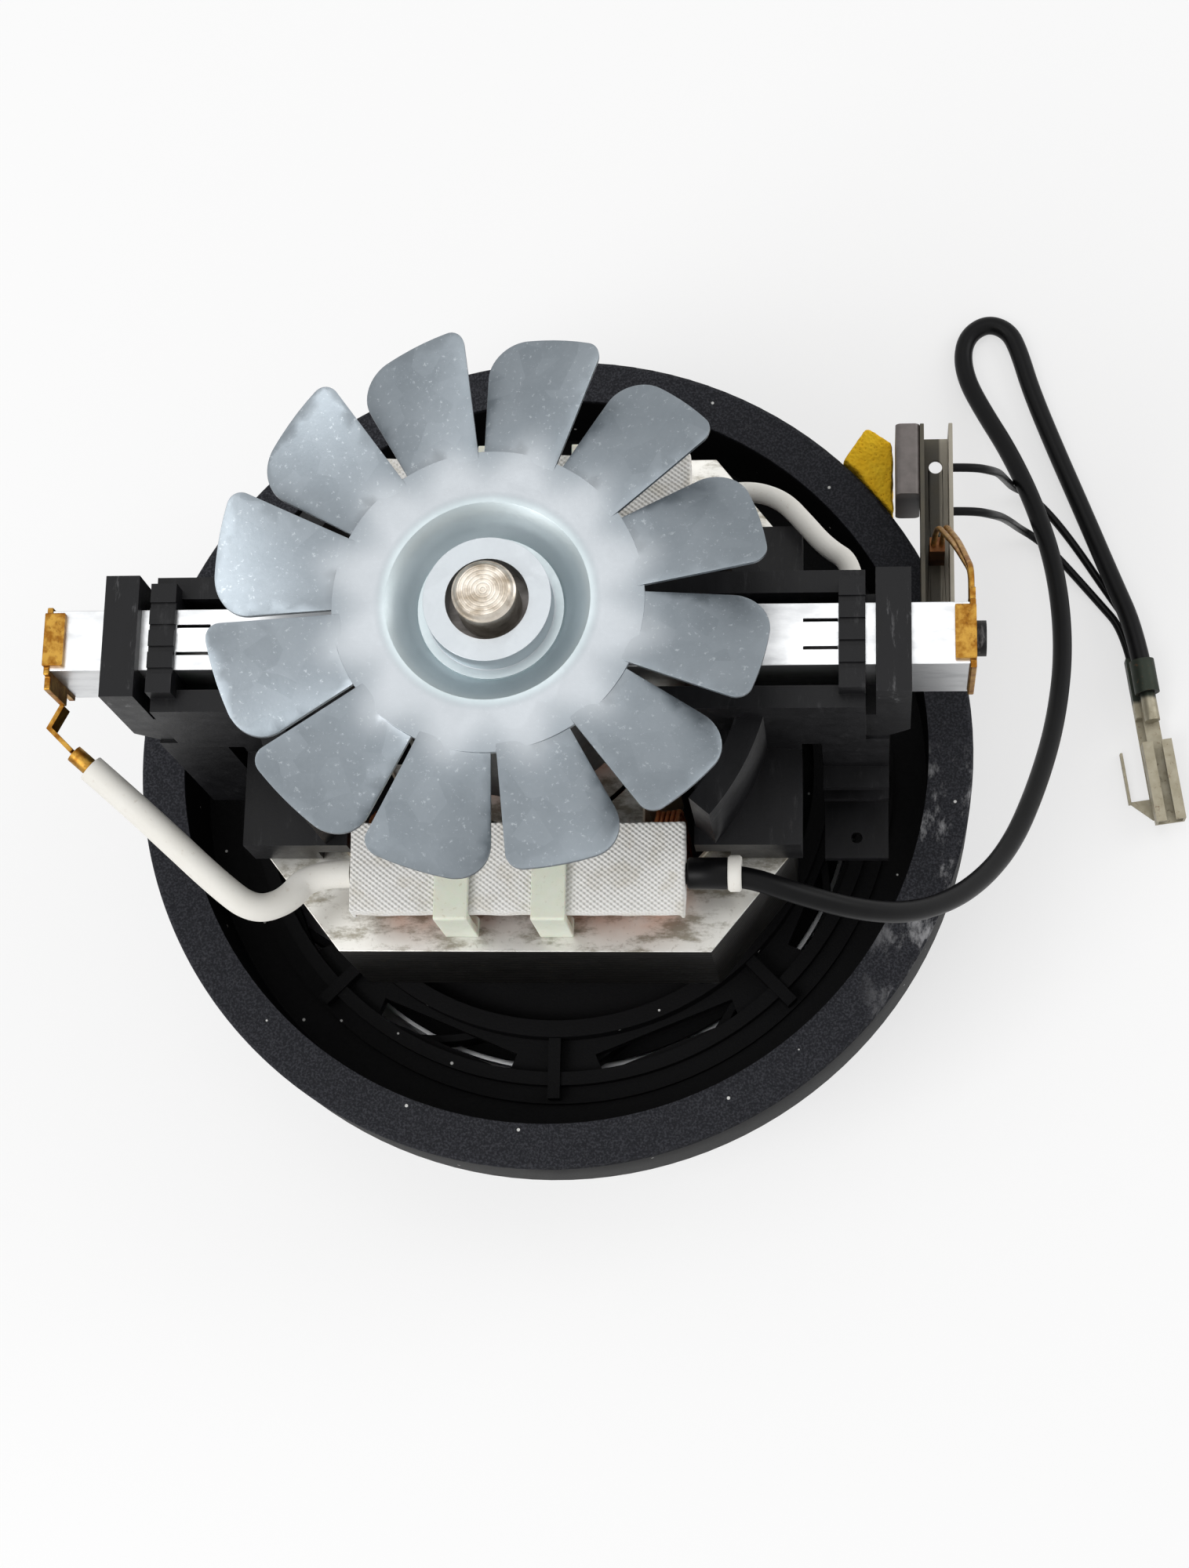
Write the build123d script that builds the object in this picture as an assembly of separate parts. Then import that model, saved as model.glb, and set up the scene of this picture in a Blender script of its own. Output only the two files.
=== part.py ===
from build123d import *
import math
import os

os.makedirs("parts", exist_ok=True)

# Allowances used all through the motor
seat_gap = 0.3
air_gap = 0.6
ball_play = 0.05
overrun = 5.0

# Inlet cover, a pressed steel cup that the motor stands on
cover_radius = 49.5
cover_sheet = 1.0
cover_bend = 2.5
eye_radius = 16.0
eye_lip = 3.0

# Impeller
impeller_floor_gap = 2.5
impeller_tip_gap = 4.5
disc_sheet = 0.8
eye_running_gap = 1.0
eye_neck_share = 0.6
blade_height = 6.9
blade_count = 9
blade_sheet = 0.8
blade_arc = 26.0
blade_arc_offset = 22.0
blade_edge_margin = 0.8
washer_radius = 8.0
washer_sheet = 1.0
nut_flats = 13.0
nut_height = 6.0
thread_stub = 1.2
spacer_wall = 1.6

# Diffuser
diffuser_gap = 1.5
diffuser_sheet = 1.5
diffuser_hub_gap = 2.0
diffuser_edge_gap = 3.0
vane_height = 5.0
vane_count = 12
vane_sheet = 1.2
vane_arc = 30.0
vane_arc_offset = 22.0
vane_root_radius = 14.0

# Shaft and the two ball bearings
shaft_radius = 4.0
shaft_stub = 4.0
shaft_chamfer = 0.8
bearing_radius = 11.0
bearing_width = 7.0
inner_race_wall = 2.0
outer_race_wall = 1.5
ball_count = 7
shield_sheet = 0.3
shield_play = 0.2

# Motor housing, the black bowl
ring_radius = 62.0
rim_width = 6.5
bowl_wall = 2.0
flange_sheet = 2.0
skirt_sheet = 2.0
skirt_height = 14.0
rim_rise = 15.5
rim_rounding = 0.6
floor_sheet = 2.5
spigot_wall = 2.0
spigot_height = 6.0
boss_wall = 3.0
bearing_seat = 1.5
bearing_lip = 2.5
boss_rise = 1.0
ring_rib_radius = 38.5
ring_rib_width = 2.5
ring_rib_height = 3.5
step_rib_radius = 46.0
step_rib_width = 2.0
step_rib_height = 2.0
spoke_count = 8
spoke_width = 1.8
spoke_height = 2.5
spoke_overhang = 2.0
channel_width = 5.0
channel_depth = 1.2
passage_width = 3.0
passage_count = 8
passage_length = 22.0
post_radius = 4.5
post_height = 17.5

# Housing screws, driven up from below through the posts and the stator
screw_inset = 4.5
screw_y = 17.0
screw_radius = 1.9
screw_clearance = 0.2
screw_head_radius = 3.5
screw_head_height = 2.8
screw_head_recess = 0.7
screw_head_gap = 0.4
screw_grip = 6.0

# Stator laminations
stack_height = 24.0
stack_half_width = 36.5
stack_half_depth = 35.4
stack_flat_half = 25.5
stack_side_half = 21.5
armature_radius = 17.8
horn_depth = 3.1
pole_half_width = 16.0
side_yoke = 9.0
window_radius = 33.0
horn_gap_half = 9.0
liner_sheet = 0.3
liner_proud = 1.2

# Armature
armature_slots = 12
armature_slot_radius = 2.5
armature_slot_centre = 13.2
armature_slot_mouth = 1.6
slot_fill_share = 0.92
overhang_inner = 6.5
overhang_outer = 15.8
lower_overhang = 7.0
upper_overhang = 8.0
overhang_cone = 3.0
overhang_neck = 11.0

# Field coils, one unbroken wire in each
coil_wire = 0.7
coil_layers = 3
coil_rows = 6
coil_layer_pitch = 1.45
coil_row_pitch = 1.9
coil_leg_x = 18.2
coil_leg_y = 14.8
coil_lean_out = 6.5
coil_lean_up = 5.5
coil_leg_proud = 1.0
coil_corner = 3.0
coil_bend = 2.5

# Tape trays that cap the coil ends, and the nylon retainers over them
tape_sheet = 0.8
tape_front_lip = 2.4
tape_rear_lip = 4.2
tape_end_lip = 4.3
retainer_width = 4.6
retainer_sheet = 1.2
retainer_centres = (-8.5, 4.5)
retainer_toe = 1.6

# Brush bracket, black plastic
plate_lift = 4.0
plate_sheet = 4.0
plate_side_out = 1.3
plate_half_depth = 22.4
plate_inner_half = 23.5
plate_bore = 27.0
foot_width = 9.6
foot_inner_depth = 9.0
wall_radius = 34.5
wall_sheet = 3.5
wall_height = 16.0
wall_half_angle = 40.0
arm_half_width = 9.2
arm_inner = 31.0
arm_outer = 46.4
arm_keel = 2.5
arm_rise_share = 0.84
window_outer = 43.0
window_half_width = 6.2
bridge_sheet = 1.0
bridge_half_width = 7.4
bridge_grooves = 4
bridge_groove_width = 0.8
bridge_groove_depth = 0.4
rail_sheet = 3.0
clamp_inner = 47.7
clamp_outer = 52.2
clamp_half_width = 8.2
clamp_roof = 2.0
clamp_keel = 3.5
clamp_slant = 3.2
groove_width = 1.2
groove_depth = 11.0
drum_wall = 3.3
drum_bore_gap = 0.7
drum_lift = 4.0
drum_rise = 0.5
leg_side_out = 4.0
leg_sheet = 9.0
leg_half_width = 8.6
leg_height = 32.0
ledge_sheet = 1.6
ledge_drops = (14.0, 20.5)
ledge_reach = 3.0
pad_drop = 29.5
pad_reach = 9.5
pad_hole = 0.8
pad_hole_inset = 3.0

# Brush gear
tube_lift = 9.5
tube_width = 8.2
tube_height = 12.5
tube_sheet = 0.6
tube_end = 59.6
tube_notch_length = 4.4
tube_notch_width = 0.45
tube_notch_spacing = 3.7
tube_notch_inset = 0.1
tube_face_gap = 1.4
brush_play = 0.1
brush_face_gap = 0.1
brush_length = 24.0
spring_outer = 2.9
spring_wall = 0.7
cap_sheet = 0.8
cap_half_width = 4.6
cap_flange = 1.9
cap_flange_half = 3.6
cap_tab_reach = 1.8
cap_tab_drop = 8.0
plug_radius = 2.3
plug_proud = 1.3
plug_drop = 2.6
commutator_radius = 11.5
commutator_wall = 4.0
commutator_bars = 24
commutator_slit = 0.4
commutator_slit_depth = 1.0
commutator_below = 4.5
commutator_above = 0.6
riser_height = 1.8
riser_step = 1.3

# Cooling fan, pressed sheet with twelve blades
fan_radius = 35.0
fan_sheet = 0.8
fan_gap = 0.9
fan_disc_radius = 19.5
fan_dish_top_radius = 13.6
fan_dish_radius = 9.6
fan_dish_depth = 3.3
fan_collar_outer = 8.0
fan_collar_inner = 5.2
fan_collar_proud = 0.4
fan_bush_drop = 3.0
fan_blades = 12
fan_phase = 19.0
petal_sheet = 0.66
petal_root_half = 4.4
petal_tip_half = 7.9
petal_root_radius = 17.5
petal_high_corner = 2.0
petal_low_corner = 4.5
petal_twist = -27.0

# Left terminal strip on the brush cap
strip_sheet = 0.6
strip_height = 2.8
strip_bow = 1.6
crimp_radius = 1.2
crimp_length = 3.0

# Thermal cut-out in a tray that is riveted to the rim
rivet_angle = 14.5
rivet_radius = 0.8
rivet_head = 1.6
rivet_head_height = 0.8
rivet_foot = 1.1
tray_width = 4.8
tray_sheet = 0.6
tray_height = 7.0
tray_ahead = 2.7
tray_behind = 33.3
tray_hole = 1.0
tray_hole_insets = (4.5, 16.5)
cutout_width = 3.6
cutout_length = 11.0
cutout_below = 3.8
post_block = 2.2
post_inset = 19.0
jumper_radius = 0.4
jumper_spacing = 1.2
jumper_rise_shares = (0.3, 0.8)
jumper_reach_shares = (0.08, 0.55)
jumper_end_share = 0.16
cushion_height = 12.0
cushion_width = 7.7
cushion_corner_in = 4.0
cushion_corner_out = 2.5
cushion_left_in = 2.9
cushion_front_in = 13.5

# Leads and their receptacles
cord_bend_share = 0.45
white_radius = 1.9
rear_white_radius = 1.4
long_radius = 1.5
short_radius = 0.65
terminal_turn = -81.6
terminal_width = 4.6
terminal_height = 2.7
terminal_sheet = 0.4
terminal_mouth = 13.0
terminal_neck = 3.4
terminal_slit = 1.4
wire_crimp = 4.6
wire_crimp_radius = 1.2
grip_wall = 0.45
grip_length = 5.4
under_width = 3.6
under_height = 2.3
under_lead_spacing = 1.5
under_lead_lift = 1.1
under_tongue = 8.0
under_foot = 3.4

# Levels that follow from the sizes above
impeller_z = cover_sheet + impeller_floor_gap
impeller_back_z = impeller_z + disc_sheet + blade_height
impeller_top = impeller_back_z + disc_sheet
diffuser_z = impeller_top + diffuser_gap
vane_z = diffuser_z + diffuser_sheet
floor_z = vane_z + vane_height
floor_top = floor_z + floor_sheet
lower_bearing_z = floor_z + bearing_seat
boss_top = lower_bearing_z + bearing_width + boss_rise
stack_z = floor_top + post_height
stack_top = stack_z + stack_height
rim_top = floor_top + rim_rise
plate_z = stack_top + plate_lift
plate_top = plate_z + plate_sheet
tube_z = plate_top + tube_lift
tube_top = tube_z + tube_height
tube_mid = tube_z + tube_height / 2
commutator_z = tube_z - commutator_below
commutator_top = tube_top + commutator_above
bridge_top = tube_top + bridge_sheet
drum_z = plate_top + drum_lift
upper_lip_z = commutator_top + air_gap
upper_bearing_z = upper_lip_z + bearing_seat
drum_top = upper_bearing_z + bearing_width + drum_rise
fan_floor_z = drum_top + fan_gap
fan_disc_z = fan_floor_z + fan_dish_depth
fan_top = fan_disc_z + fan_sheet
shaft_top = fan_top + shaft_stub
nut_z = impeller_back_z - washer_sheet - nut_height
shaft_bottom = nut_z - thread_stub
cover_top = floor_z - seat_gap

# Radii that follow from the sizes above
cover_inner = cover_radius - cover_sheet
impeller_radius = cover_inner - impeller_tip_gap
impeller_eye = eye_radius + cover_sheet + eye_running_gap
spigot_inner = cover_inner - spigot_wall
rim_inner = ring_radius - rim_width
wall_outer = rim_inner + bowl_wall
boss_radius = bearing_radius + boss_wall
seat_bore = bearing_radius - bearing_lip
inner_race_radius = shaft_radius + inner_race_wall
outer_race_inner = bearing_radius - outer_race_wall
ball_centre = (inner_race_radius + outer_race_inner) / 2
ball_radius = (outer_race_inner - inner_race_radius) / 2 - ball_play
bore_radius = armature_radius + air_gap
horn_radius = bore_radius + horn_depth
window_x = stack_half_width - side_yoke
screw_x = stack_half_width - screw_inset
plate_half_width = stack_half_width + plate_side_out
foot_inner_half = plate_half_width - foot_width
leg_inner = stack_half_width + leg_side_out
leg_outer = leg_inner + leg_sheet
drum_inner = commutator_radius + riser_step + drum_bore_gap
drum_radius = drum_inner + drum_wall
tube_start = commutator_radius + tube_face_gap
brush_start = commutator_radius + brush_face_gap
brush_end = brush_start + brush_length
cap_x = tube_end + cap_sheet
rivet_ring = (wall_outer + ring_radius - skirt_sheet) / 2
rivet_x = rivet_ring * math.cos(math.radians(rivet_angle))
rivet_y = rivet_ring * math.sin(math.radians(rivet_angle))
tray_left = rivet_x - tray_width / 2
tray_right = rivet_x + tray_width / 2
tray_front = rivet_y - tray_ahead
tray_back = rivet_y + tray_behind
post_y = tray_back - post_inset

# Coil crossings
coil_cross_y = coil_leg_y + coil_lean_out
coil_leg_top = stack_top + coil_leg_proud
coil_leg_bottom = stack_z - coil_leg_proud
coil_end_y = coil_cross_y + (coil_rows - 1) * coil_row_pitch
coil_outer_x = coil_leg_x + (coil_layers - 1) * coil_layer_pitch
coil_top = coil_leg_top + coil_lean_up + (coil_layers - 1) * coil_layer_pitch
wire_half = coil_wire / 2
tape_top = coil_top + wire_half + seat_gap + tape_sheet
tape_x = coil_outer_x + wire_half + seat_gap + tape_sheet
tape_front = coil_end_y + wire_half + seat_gap + tape_sheet
tape_rear = coil_cross_y - wire_half - seat_gap - tape_sheet


def ring(inner, outer, bottom, top):
    """A plain ring about the shaft."""
    body = Cylinder(outer, top - bottom, align=(Align.CENTER, Align.CENTER, Align.MIN))
    if inner > 0:
        bore = Cylinder(inner, top - bottom + 2 * overrun, align=(Align.CENTER, Align.CENTER, Align.MIN))
        body -= Pos(0, 0, -overrun) * bore
    return Pos(0, 0, bottom) * body


def block(x0, x1, y0, y1, z0, z1):
    """A box between two corners."""
    centre = Pos((x0 + x1) / 2, (y0 + y1) / 2, (z0 + z1) / 2)
    return centre * Box(abs(x1 - x0), abs(y1 - y0), abs(z1 - z0))


def mirrored(shape):
    """The same shape on the other side of the YZ plane."""
    return mirror(shape, about=Plane.YZ)


def turned(shape, angle):
    """A shape turned about the shaft, in degrees."""
    return Rot(0, 0, angle) * shape


def solids_of(shapes):
    """One compound of separate solids."""
    found = []
    for shape in shapes:
        found.extend(shape.solids())
    return Compound(found)


def corner_places(x, y):
    """The four corners of a rectangle centred on the shaft."""
    return [(x, y), (-x, y), (-x, -y), (x, -y)]


def arc_blades(count, inner, outer, bottom, top, sheet, arc, offset):
    """Thin curved blades, cut from a tube whose axis stands off the shaft."""
    shell = Pos(offset, 0, 0) * ring(arc - sheet, arc, bottom, top)
    band = ring(inner, outer, bottom, top)
    reach = outer + arc + offset
    side = block(-reach, reach, 0, reach, bottom - overrun, top + overrun)
    blade = shell & band & side
    return [turned(blade, 360 / count * number) for number in range(count)]


def bend_radii(points, share):
    """The largest arc that each corner's two runs allow."""
    radii = []
    for before, corner, after in zip(points, points[1:], points[2:]):
        run_in = Vector(*corner) - Vector(*before)
        run_out = Vector(*after) - Vector(*corner)
        turn = math.radians(run_in.get_angle(run_out))
        radii.append(share * min(run_in.length, run_out.length) / math.tan(turn / 2))
    return radii


def wire_tube(points, radii, radius):
    """A round wire along straight runs joined by tangent arcs."""
    path = FilletPolyline(*points, radius=radii)
    section = Plane(origin=path @ 0, z_dir=path % 0) * Circle(radius)
    return sweep(section, path=path), path


def cord(name, points, radius):
    """A free lead; its radii and volume are printed as it is made."""
    radii = bend_radii(points, cord_bend_share)
    tube, path = wire_tube(points, radii, radius)
    expected = math.pi * radius ** 2 * path.length
    listed = " ".join(f"{value:.1f}" for value in radii)
    print(f"{name}: length {path.length:.1f}, volume ratio {tube.volume / expected:.4f}, radii {listed}")
    return tube


# Inlet cover and impeller


def inlet_cover():
    shell = ring(0, cover_radius, 0, cover_top) - ring(0, cover_inner, cover_sheet, cover_top + overrun)
    rim = shell.edges().filter_by(GeomType.CIRCLE).group_by(Axis.Z)[0].sort_by(SortBy.RADIUS)[-1]
    shell = fillet(rim, min(cover_bend, cover_top / 2) * cover_sheet / (cover_sheet + cover_bend))
    lip = ring(eye_radius, eye_radius + cover_sheet, 0, eye_lip)
    return shell - ring(0, eye_radius, -overrun, cover_sheet + overrun) + lip


def impeller_front_disc():
    disc = ring(impeller_eye, impeller_radius, impeller_z, impeller_z + disc_sheet)
    neck_z = impeller_z - impeller_floor_gap * eye_neck_share
    neck = ring(impeller_eye, impeller_eye + disc_sheet, neck_z, impeller_z)
    return disc + neck


def impeller_blades():
    inner = impeller_eye + 2 * blade_edge_margin
    outer = impeller_radius - blade_edge_margin
    bottom = impeller_z + disc_sheet
    blades = arc_blades(
        blade_count, inner, outer, bottom, impeller_back_z, blade_sheet, blade_arc, blade_arc_offset
    )
    return solids_of(blades)


def impeller_back_disc():
    return ring(shaft_radius, impeller_radius, impeller_back_z, impeller_top)


def impeller_washer():
    return ring(shaft_radius, washer_radius, impeller_back_z - washer_sheet, impeller_back_z)


def impeller_nut():
    hexagon = RegularPolygon(nut_flats / math.sqrt(3), 6)
    nut = Pos(0, 0, nut_z) * extrude(hexagon, nut_height)
    return nut - ring(0, shaft_radius, nut_z - overrun, impeller_back_z)


def impeller_spacer():
    return ring(shaft_radius, shaft_radius + spacer_wall, impeller_top, lower_bearing_z)


def diffuser():
    hub = shaft_radius + spacer_wall + diffuser_hub_gap
    plate = ring(hub, spigot_inner - diffuser_edge_gap, diffuser_z, vane_z)
    vanes = arc_blades(
        vane_count, vane_root_radius, spigot_inner, vane_z, floor_z, vane_sheet, vane_arc, vane_arc_offset
    )
    for vane in vanes:
        plate += vane
    return plate


# Motor housing


def motor_housing():
    bowl = ring(seat_bore, wall_outer, floor_z, floor_top)
    bowl += ring(seat_bore, boss_radius, floor_z, boss_top)
    bowl += ring(rim_inner, wall_outer, floor_z, rim_top)
    bowl += ring(rim_inner, ring_radius, rim_top - flange_sheet, rim_top)
    bowl += ring(ring_radius - skirt_sheet, ring_radius, rim_top - skirt_height, rim_top)
    bowl += ring(spigot_inner, cover_inner, floor_z - spigot_height, floor_z)
    bowl += ring(ring_rib_radius, ring_rib_radius + ring_rib_width, floor_top, floor_top + ring_rib_height)
    bowl += ring(step_rib_radius, step_rib_radius + step_rib_width, floor_top, floor_top + step_rib_height)
    spoke_start = ring_rib_radius + ring_rib_width / 2
    spoke_end = step_rib_radius + step_rib_width + spoke_overhang
    spoke = block(
        spoke_start, spoke_end, -spoke_width / 2, spoke_width / 2, floor_top, floor_top + spoke_height
    )
    for number in range(spoke_count):
        bowl += turned(spoke, 360 / spoke_count * number)
    channel_outer = rim_inner
    channel_inner = channel_outer - channel_width
    bowl -= ring(channel_inner, channel_outer, floor_top - channel_depth, floor_top + overrun) & ring(
        0, channel_outer, floor_top - channel_depth, floor_top
    )
    passage_mid = (ring_rib_radius + ring_rib_width + step_rib_radius) / 2
    passage = Pos(passage_mid, 0, floor_z) * Box(passage_width, passage_length, 2 * overrun)
    keep = ring(passage_mid - passage_width / 2, step_rib_radius, floor_z - overrun, floor_top + overrun)
    for number in range(passage_count):
        bowl -= turned(passage & keep, 360 / passage_count * (number + 0.5))
    for x, y in corner_places(screw_x, screw_y):
        bowl += Pos(x, y, 0) * ring(0, post_radius, floor_z, stack_z)
    for x, y in corner_places(screw_x, screw_y):
        bowl -= Pos(x, y, 0) * ring(0, screw_radius + screw_clearance, floor_z - overrun, stack_z + overrun)
        head_top = floor_z + screw_head_recess + screw_head_height
        head_bore = ring(0, screw_head_radius + screw_head_gap, floor_z - overrun, head_top)
        bowl -= Pos(x, y, 0) * head_bore
    bowl -= ring(0, bearing_radius, lower_bearing_z, boss_top + overrun)
    rivet_hole = ring(0, rivet_radius, rim_top - flange_sheet - overrun, rim_top + overrun)
    bowl -= Pos(rivet_x, rivet_y, 0) * rivet_hole
    circles = bowl.edges().filter_by(GeomType.CIRCLE)
    rim = circles.filter_by_position(Axis.Z, rim_top - rim_rounding, rim_top + rim_rounding)
    return fillet(rim.sort_by(SortBy.RADIUS)[-1], rim_rounding)


def housing_screws():
    screws = []
    head_top = floor_z + screw_head_recess + screw_head_height
    for x, y in corner_places(screw_x, screw_y):
        head = ring(0, screw_head_radius, head_top - screw_head_height, head_top)
        slot = Pos(0, 0, head_top - screw_head_height) * Box(
            2 * screw_head_radius, screw_radius / 2, screw_head_height
        )
        shank = ring(0, screw_radius, head_top, stack_top + screw_grip)
        screws.append(Pos(x, y, 0) * (head - slot + shank))
    return solids_of(screws)


# Bearings and shaft


def outer_race(bottom):
    return ring(outer_race_inner, bearing_radius, bottom, bottom + bearing_width)


def inner_race(bottom):
    return ring(shaft_radius, inner_race_radius, bottom, bottom + bearing_width)


def balls(bottom):
    ball = Pos(ball_centre, 0, bottom + bearing_width / 2) * Sphere(ball_radius)
    return solids_of([turned(ball, 360 / ball_count * number) for number in range(ball_count)])


def bearing_shields():
    shields = []
    for bottom in (lower_bearing_z, upper_bearing_z):
        for level in (bottom + shield_sheet, bottom + bearing_width - 2 * shield_sheet):
            shields.append(
                ring(inner_race_radius + shield_play, outer_race_inner, level, level + shield_sheet)
            )
    return solids_of(shields)


def shaft():
    rod = ring(0, shaft_radius, shaft_bottom, shaft_top)
    ends = rod.edges().filter_by(GeomType.CIRCLE)
    return chamfer(ends, shaft_chamfer)


# Armature and commutator


def armature_slot_tools():
    pocket = Pos(armature_slot_centre, 0, 0) * ring(
        0, armature_slot_radius, stack_z - overrun, stack_top + overrun
    )
    mouth = block(
        armature_slot_centre,
        armature_radius + overrun,
        -armature_slot_mouth / 2,
        armature_slot_mouth / 2,
        stack_z - overrun,
        stack_top + overrun,
    )
    tool = pocket + mouth
    return [turned(tool, 360 / armature_slots * number) for number in range(armature_slots)]


def armature_core():
    core = ring(shaft_radius, armature_radius, stack_z, stack_top)
    for tool in armature_slot_tools():
        core -= tool
    return core


def armature_winding():
    winding = ring(overhang_inner, overhang_outer, stack_z - lower_overhang, stack_z)
    winding += ring(overhang_inner, overhang_outer, stack_top, stack_top + upper_overhang)
    cone = Cone(overhang_outer, overhang_neck, overhang_cone, align=(Align.CENTER, Align.CENTER, Align.MIN))
    cone = Pos(0, 0, stack_top + upper_overhang) * cone
    winding += cone - ring(0, overhang_inner, stack_top, plate_top + overrun)
    strand = Pos(armature_slot_centre, 0, 0) * ring(
        0, armature_slot_radius * slot_fill_share, stack_z, stack_top
    )
    for number in range(armature_slots):
        winding += turned(strand, 360 / armature_slots * number)
    return winding


def commutator():
    inner = commutator_radius - commutator_wall
    body = ring(inner, commutator_radius, commutator_z, commutator_top)
    body += ring(inner, commutator_radius + riser_step, commutator_z, commutator_z + riser_height)
    slit = block(
        commutator_radius - commutator_slit_depth,
        commutator_radius + riser_step + overrun,
        -commutator_slit / 2,
        commutator_slit / 2,
        commutator_z - overrun,
        commutator_top + overrun,
    )
    for number in range(commutator_bars):
        body -= turned(slit, 360 / commutator_bars * number)
    return body


def commutator_core():
    return ring(shaft_radius, commutator_radius - commutator_wall, commutator_z, commutator_top)


# Stator


def window_face():
    """The winding space on the right, in plan."""
    middle = (pole_half_width + window_x) / 2
    width = window_x - pole_half_width
    space = Circle(window_radius) & Pos(middle, 0) * Rectangle(width, 2 * window_radius)
    return space - Circle(horn_radius)


def mouth_face():
    """The gap between the pole horns on the right, in plan."""
    middle = (bore_radius + window_x) / 2 - overrun / 2
    width = window_x - bore_radius + overrun
    return Pos(middle, 0) * Rectangle(width, 2 * horn_gap_half)


def stator_core():
    outline = Polyline(
        (stack_flat_half, -stack_half_depth),
        (stack_half_width, -stack_side_half),
        (stack_half_width, stack_side_half),
        (stack_flat_half, stack_half_depth),
        (-stack_flat_half, stack_half_depth),
        (-stack_half_width, stack_side_half),
        (-stack_half_width, -stack_side_half),
        (-stack_flat_half, -stack_half_depth),
        close=True,
    )
    face = make_face(outline) - Circle(bore_radius)
    space = window_face() + mouth_face()
    face -= space
    face -= mirror(space, about=Plane.YZ)
    for x, y in corner_places(screw_x, screw_y):
        face -= Pos(x, y) * Circle(screw_radius + screw_clearance)
    return Pos(0, 0, stack_z) * extrude(face, stack_height)


def slot_liners():
    space = window_face()
    lining = space - offset(space, amount=-liner_sheet)
    lining -= Rectangle(2 * window_x - 2 * liner_sheet, 2 * horn_gap_half)
    height = stack_height + 2 * liner_proud
    liner = Pos(0, 0, stack_z - liner_proud) * extrude(lining, height)
    return solids_of([liner, mirrored(liner)])


def coil_route():
    """Corner points of the front coil, round after round, with a radius for each corner."""
    places = []
    for row in range(coil_rows):
        layers = list(range(coil_layers))
        if row % 2:
            layers.reverse()
        for layer in layers:
            places.append((row, layer))
    points = []
    radii = []
    for row, layer in places:
        x = coil_leg_x + layer * coil_layer_pitch
        leg_y = -coil_leg_y - row * coil_row_pitch
        cross_y = leg_y - coil_lean_out
        high = coil_leg_top + coil_lean_up + layer * coil_layer_pitch
        low = coil_leg_bottom - coil_lean_up - layer * coil_layer_pitch
        points += [(-x, cross_y, low), (-x, leg_y, coil_leg_bottom), (-x, leg_y, coil_leg_top)]
        points += [(-x, cross_y, high), (x, cross_y, high), (x, leg_y, coil_leg_top)]
        points += [(x, leg_y, coil_leg_bottom), (x, cross_y, low)]
        radii += [coil_corner, coil_bend, coil_bend, coil_corner]
        radii += [coil_corner, coil_bend, coil_bend, coil_corner]
    tail = coil_corner + coil_wire
    first = points[0]
    last = points[-1]
    points = [(first[0] + 2 * tail, first[1], first[2])] + points
    points.append((last[0] - 2 * tail, last[1], last[2]))
    return points, radii


def least_gap(path, wire):
    """The smallest clear distance between one turn and the next, from sampled points."""
    step = wire
    count = int(path.length / step)
    marks = [path @ (index / count) for index in range(count + 1)]
    skip = int(coil_corner * math.pi / step)
    cell = coil_row_pitch
    cells = {}
    for index, mark in enumerate(marks):
        key = (int(mark.X // cell), int(mark.Y // cell), int(mark.Z // cell))
        cells.setdefault(key, []).append(index)
    least = path.length
    for (cx, cy, cz), members in cells.items():
        near = []
        for dx in (-1, 0, 1):
            for dy in (-1, 0, 1):
                for dz in (-1, 0, 1):
                    near += cells.get((cx + dx, cy + dy, cz + dz), [])
        for index in members:
            for other in near:
                if other - index > skip:
                    least = min(least, (marks[index] - marks[other]).length)
    return least - wire


def front_coil():
    points, radii = coil_route()
    tube, path = wire_tube(points, radii, wire_half)
    expected = math.pi * wire_half ** 2 * path.length
    gap = least_gap(path, coil_wire)
    print(f"coil: wire length {path.length:.0f}, volume ratio {tube.volume / expected:.4f}, gap {gap:.2f}")
    return tube


def coil_tape():
    tray = block(-tape_x, tape_x, -tape_front, -tape_rear, tape_top - tape_sheet, tape_top)
    tray += block(
        -tape_x, tape_x, -tape_front, -tape_front + tape_sheet, tape_top - tape_front_lip, tape_top
    )
    rear_half = coil_leg_x - wire_half - seat_gap
    tray += block(
        -rear_half, rear_half, -tape_rear - tape_sheet, -tape_rear, tape_top - tape_rear_lip, tape_top
    )
    for side in (-1, 1):
        outer = side * tape_x
        tray += block(
            outer - side * tape_sheet, outer, -tape_front, -tape_rear, tape_top - tape_end_lip, tape_top
        )
    return tray


def coil_retainers():
    clips = []
    for centre in retainer_centres:
        x0 = centre - retainer_width / 2
        x1 = centre + retainer_width / 2
        front = -tape_front - retainer_sheet
        clip = block(x0, x1, front, -tape_rear, tape_top, tape_top + retainer_sheet)
        clip += block(x0, x1, front, -tape_front, stack_top, tape_top + retainer_sheet)
        toe_end = front + retainer_toe + retainer_sheet
        clip += block(x0, x1, front, toe_end, stack_top, stack_top + retainer_sheet)
        clips.append(clip)
        clips.append(turned(clip, 180))
    return solids_of(clips)


# Brush bracket


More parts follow.
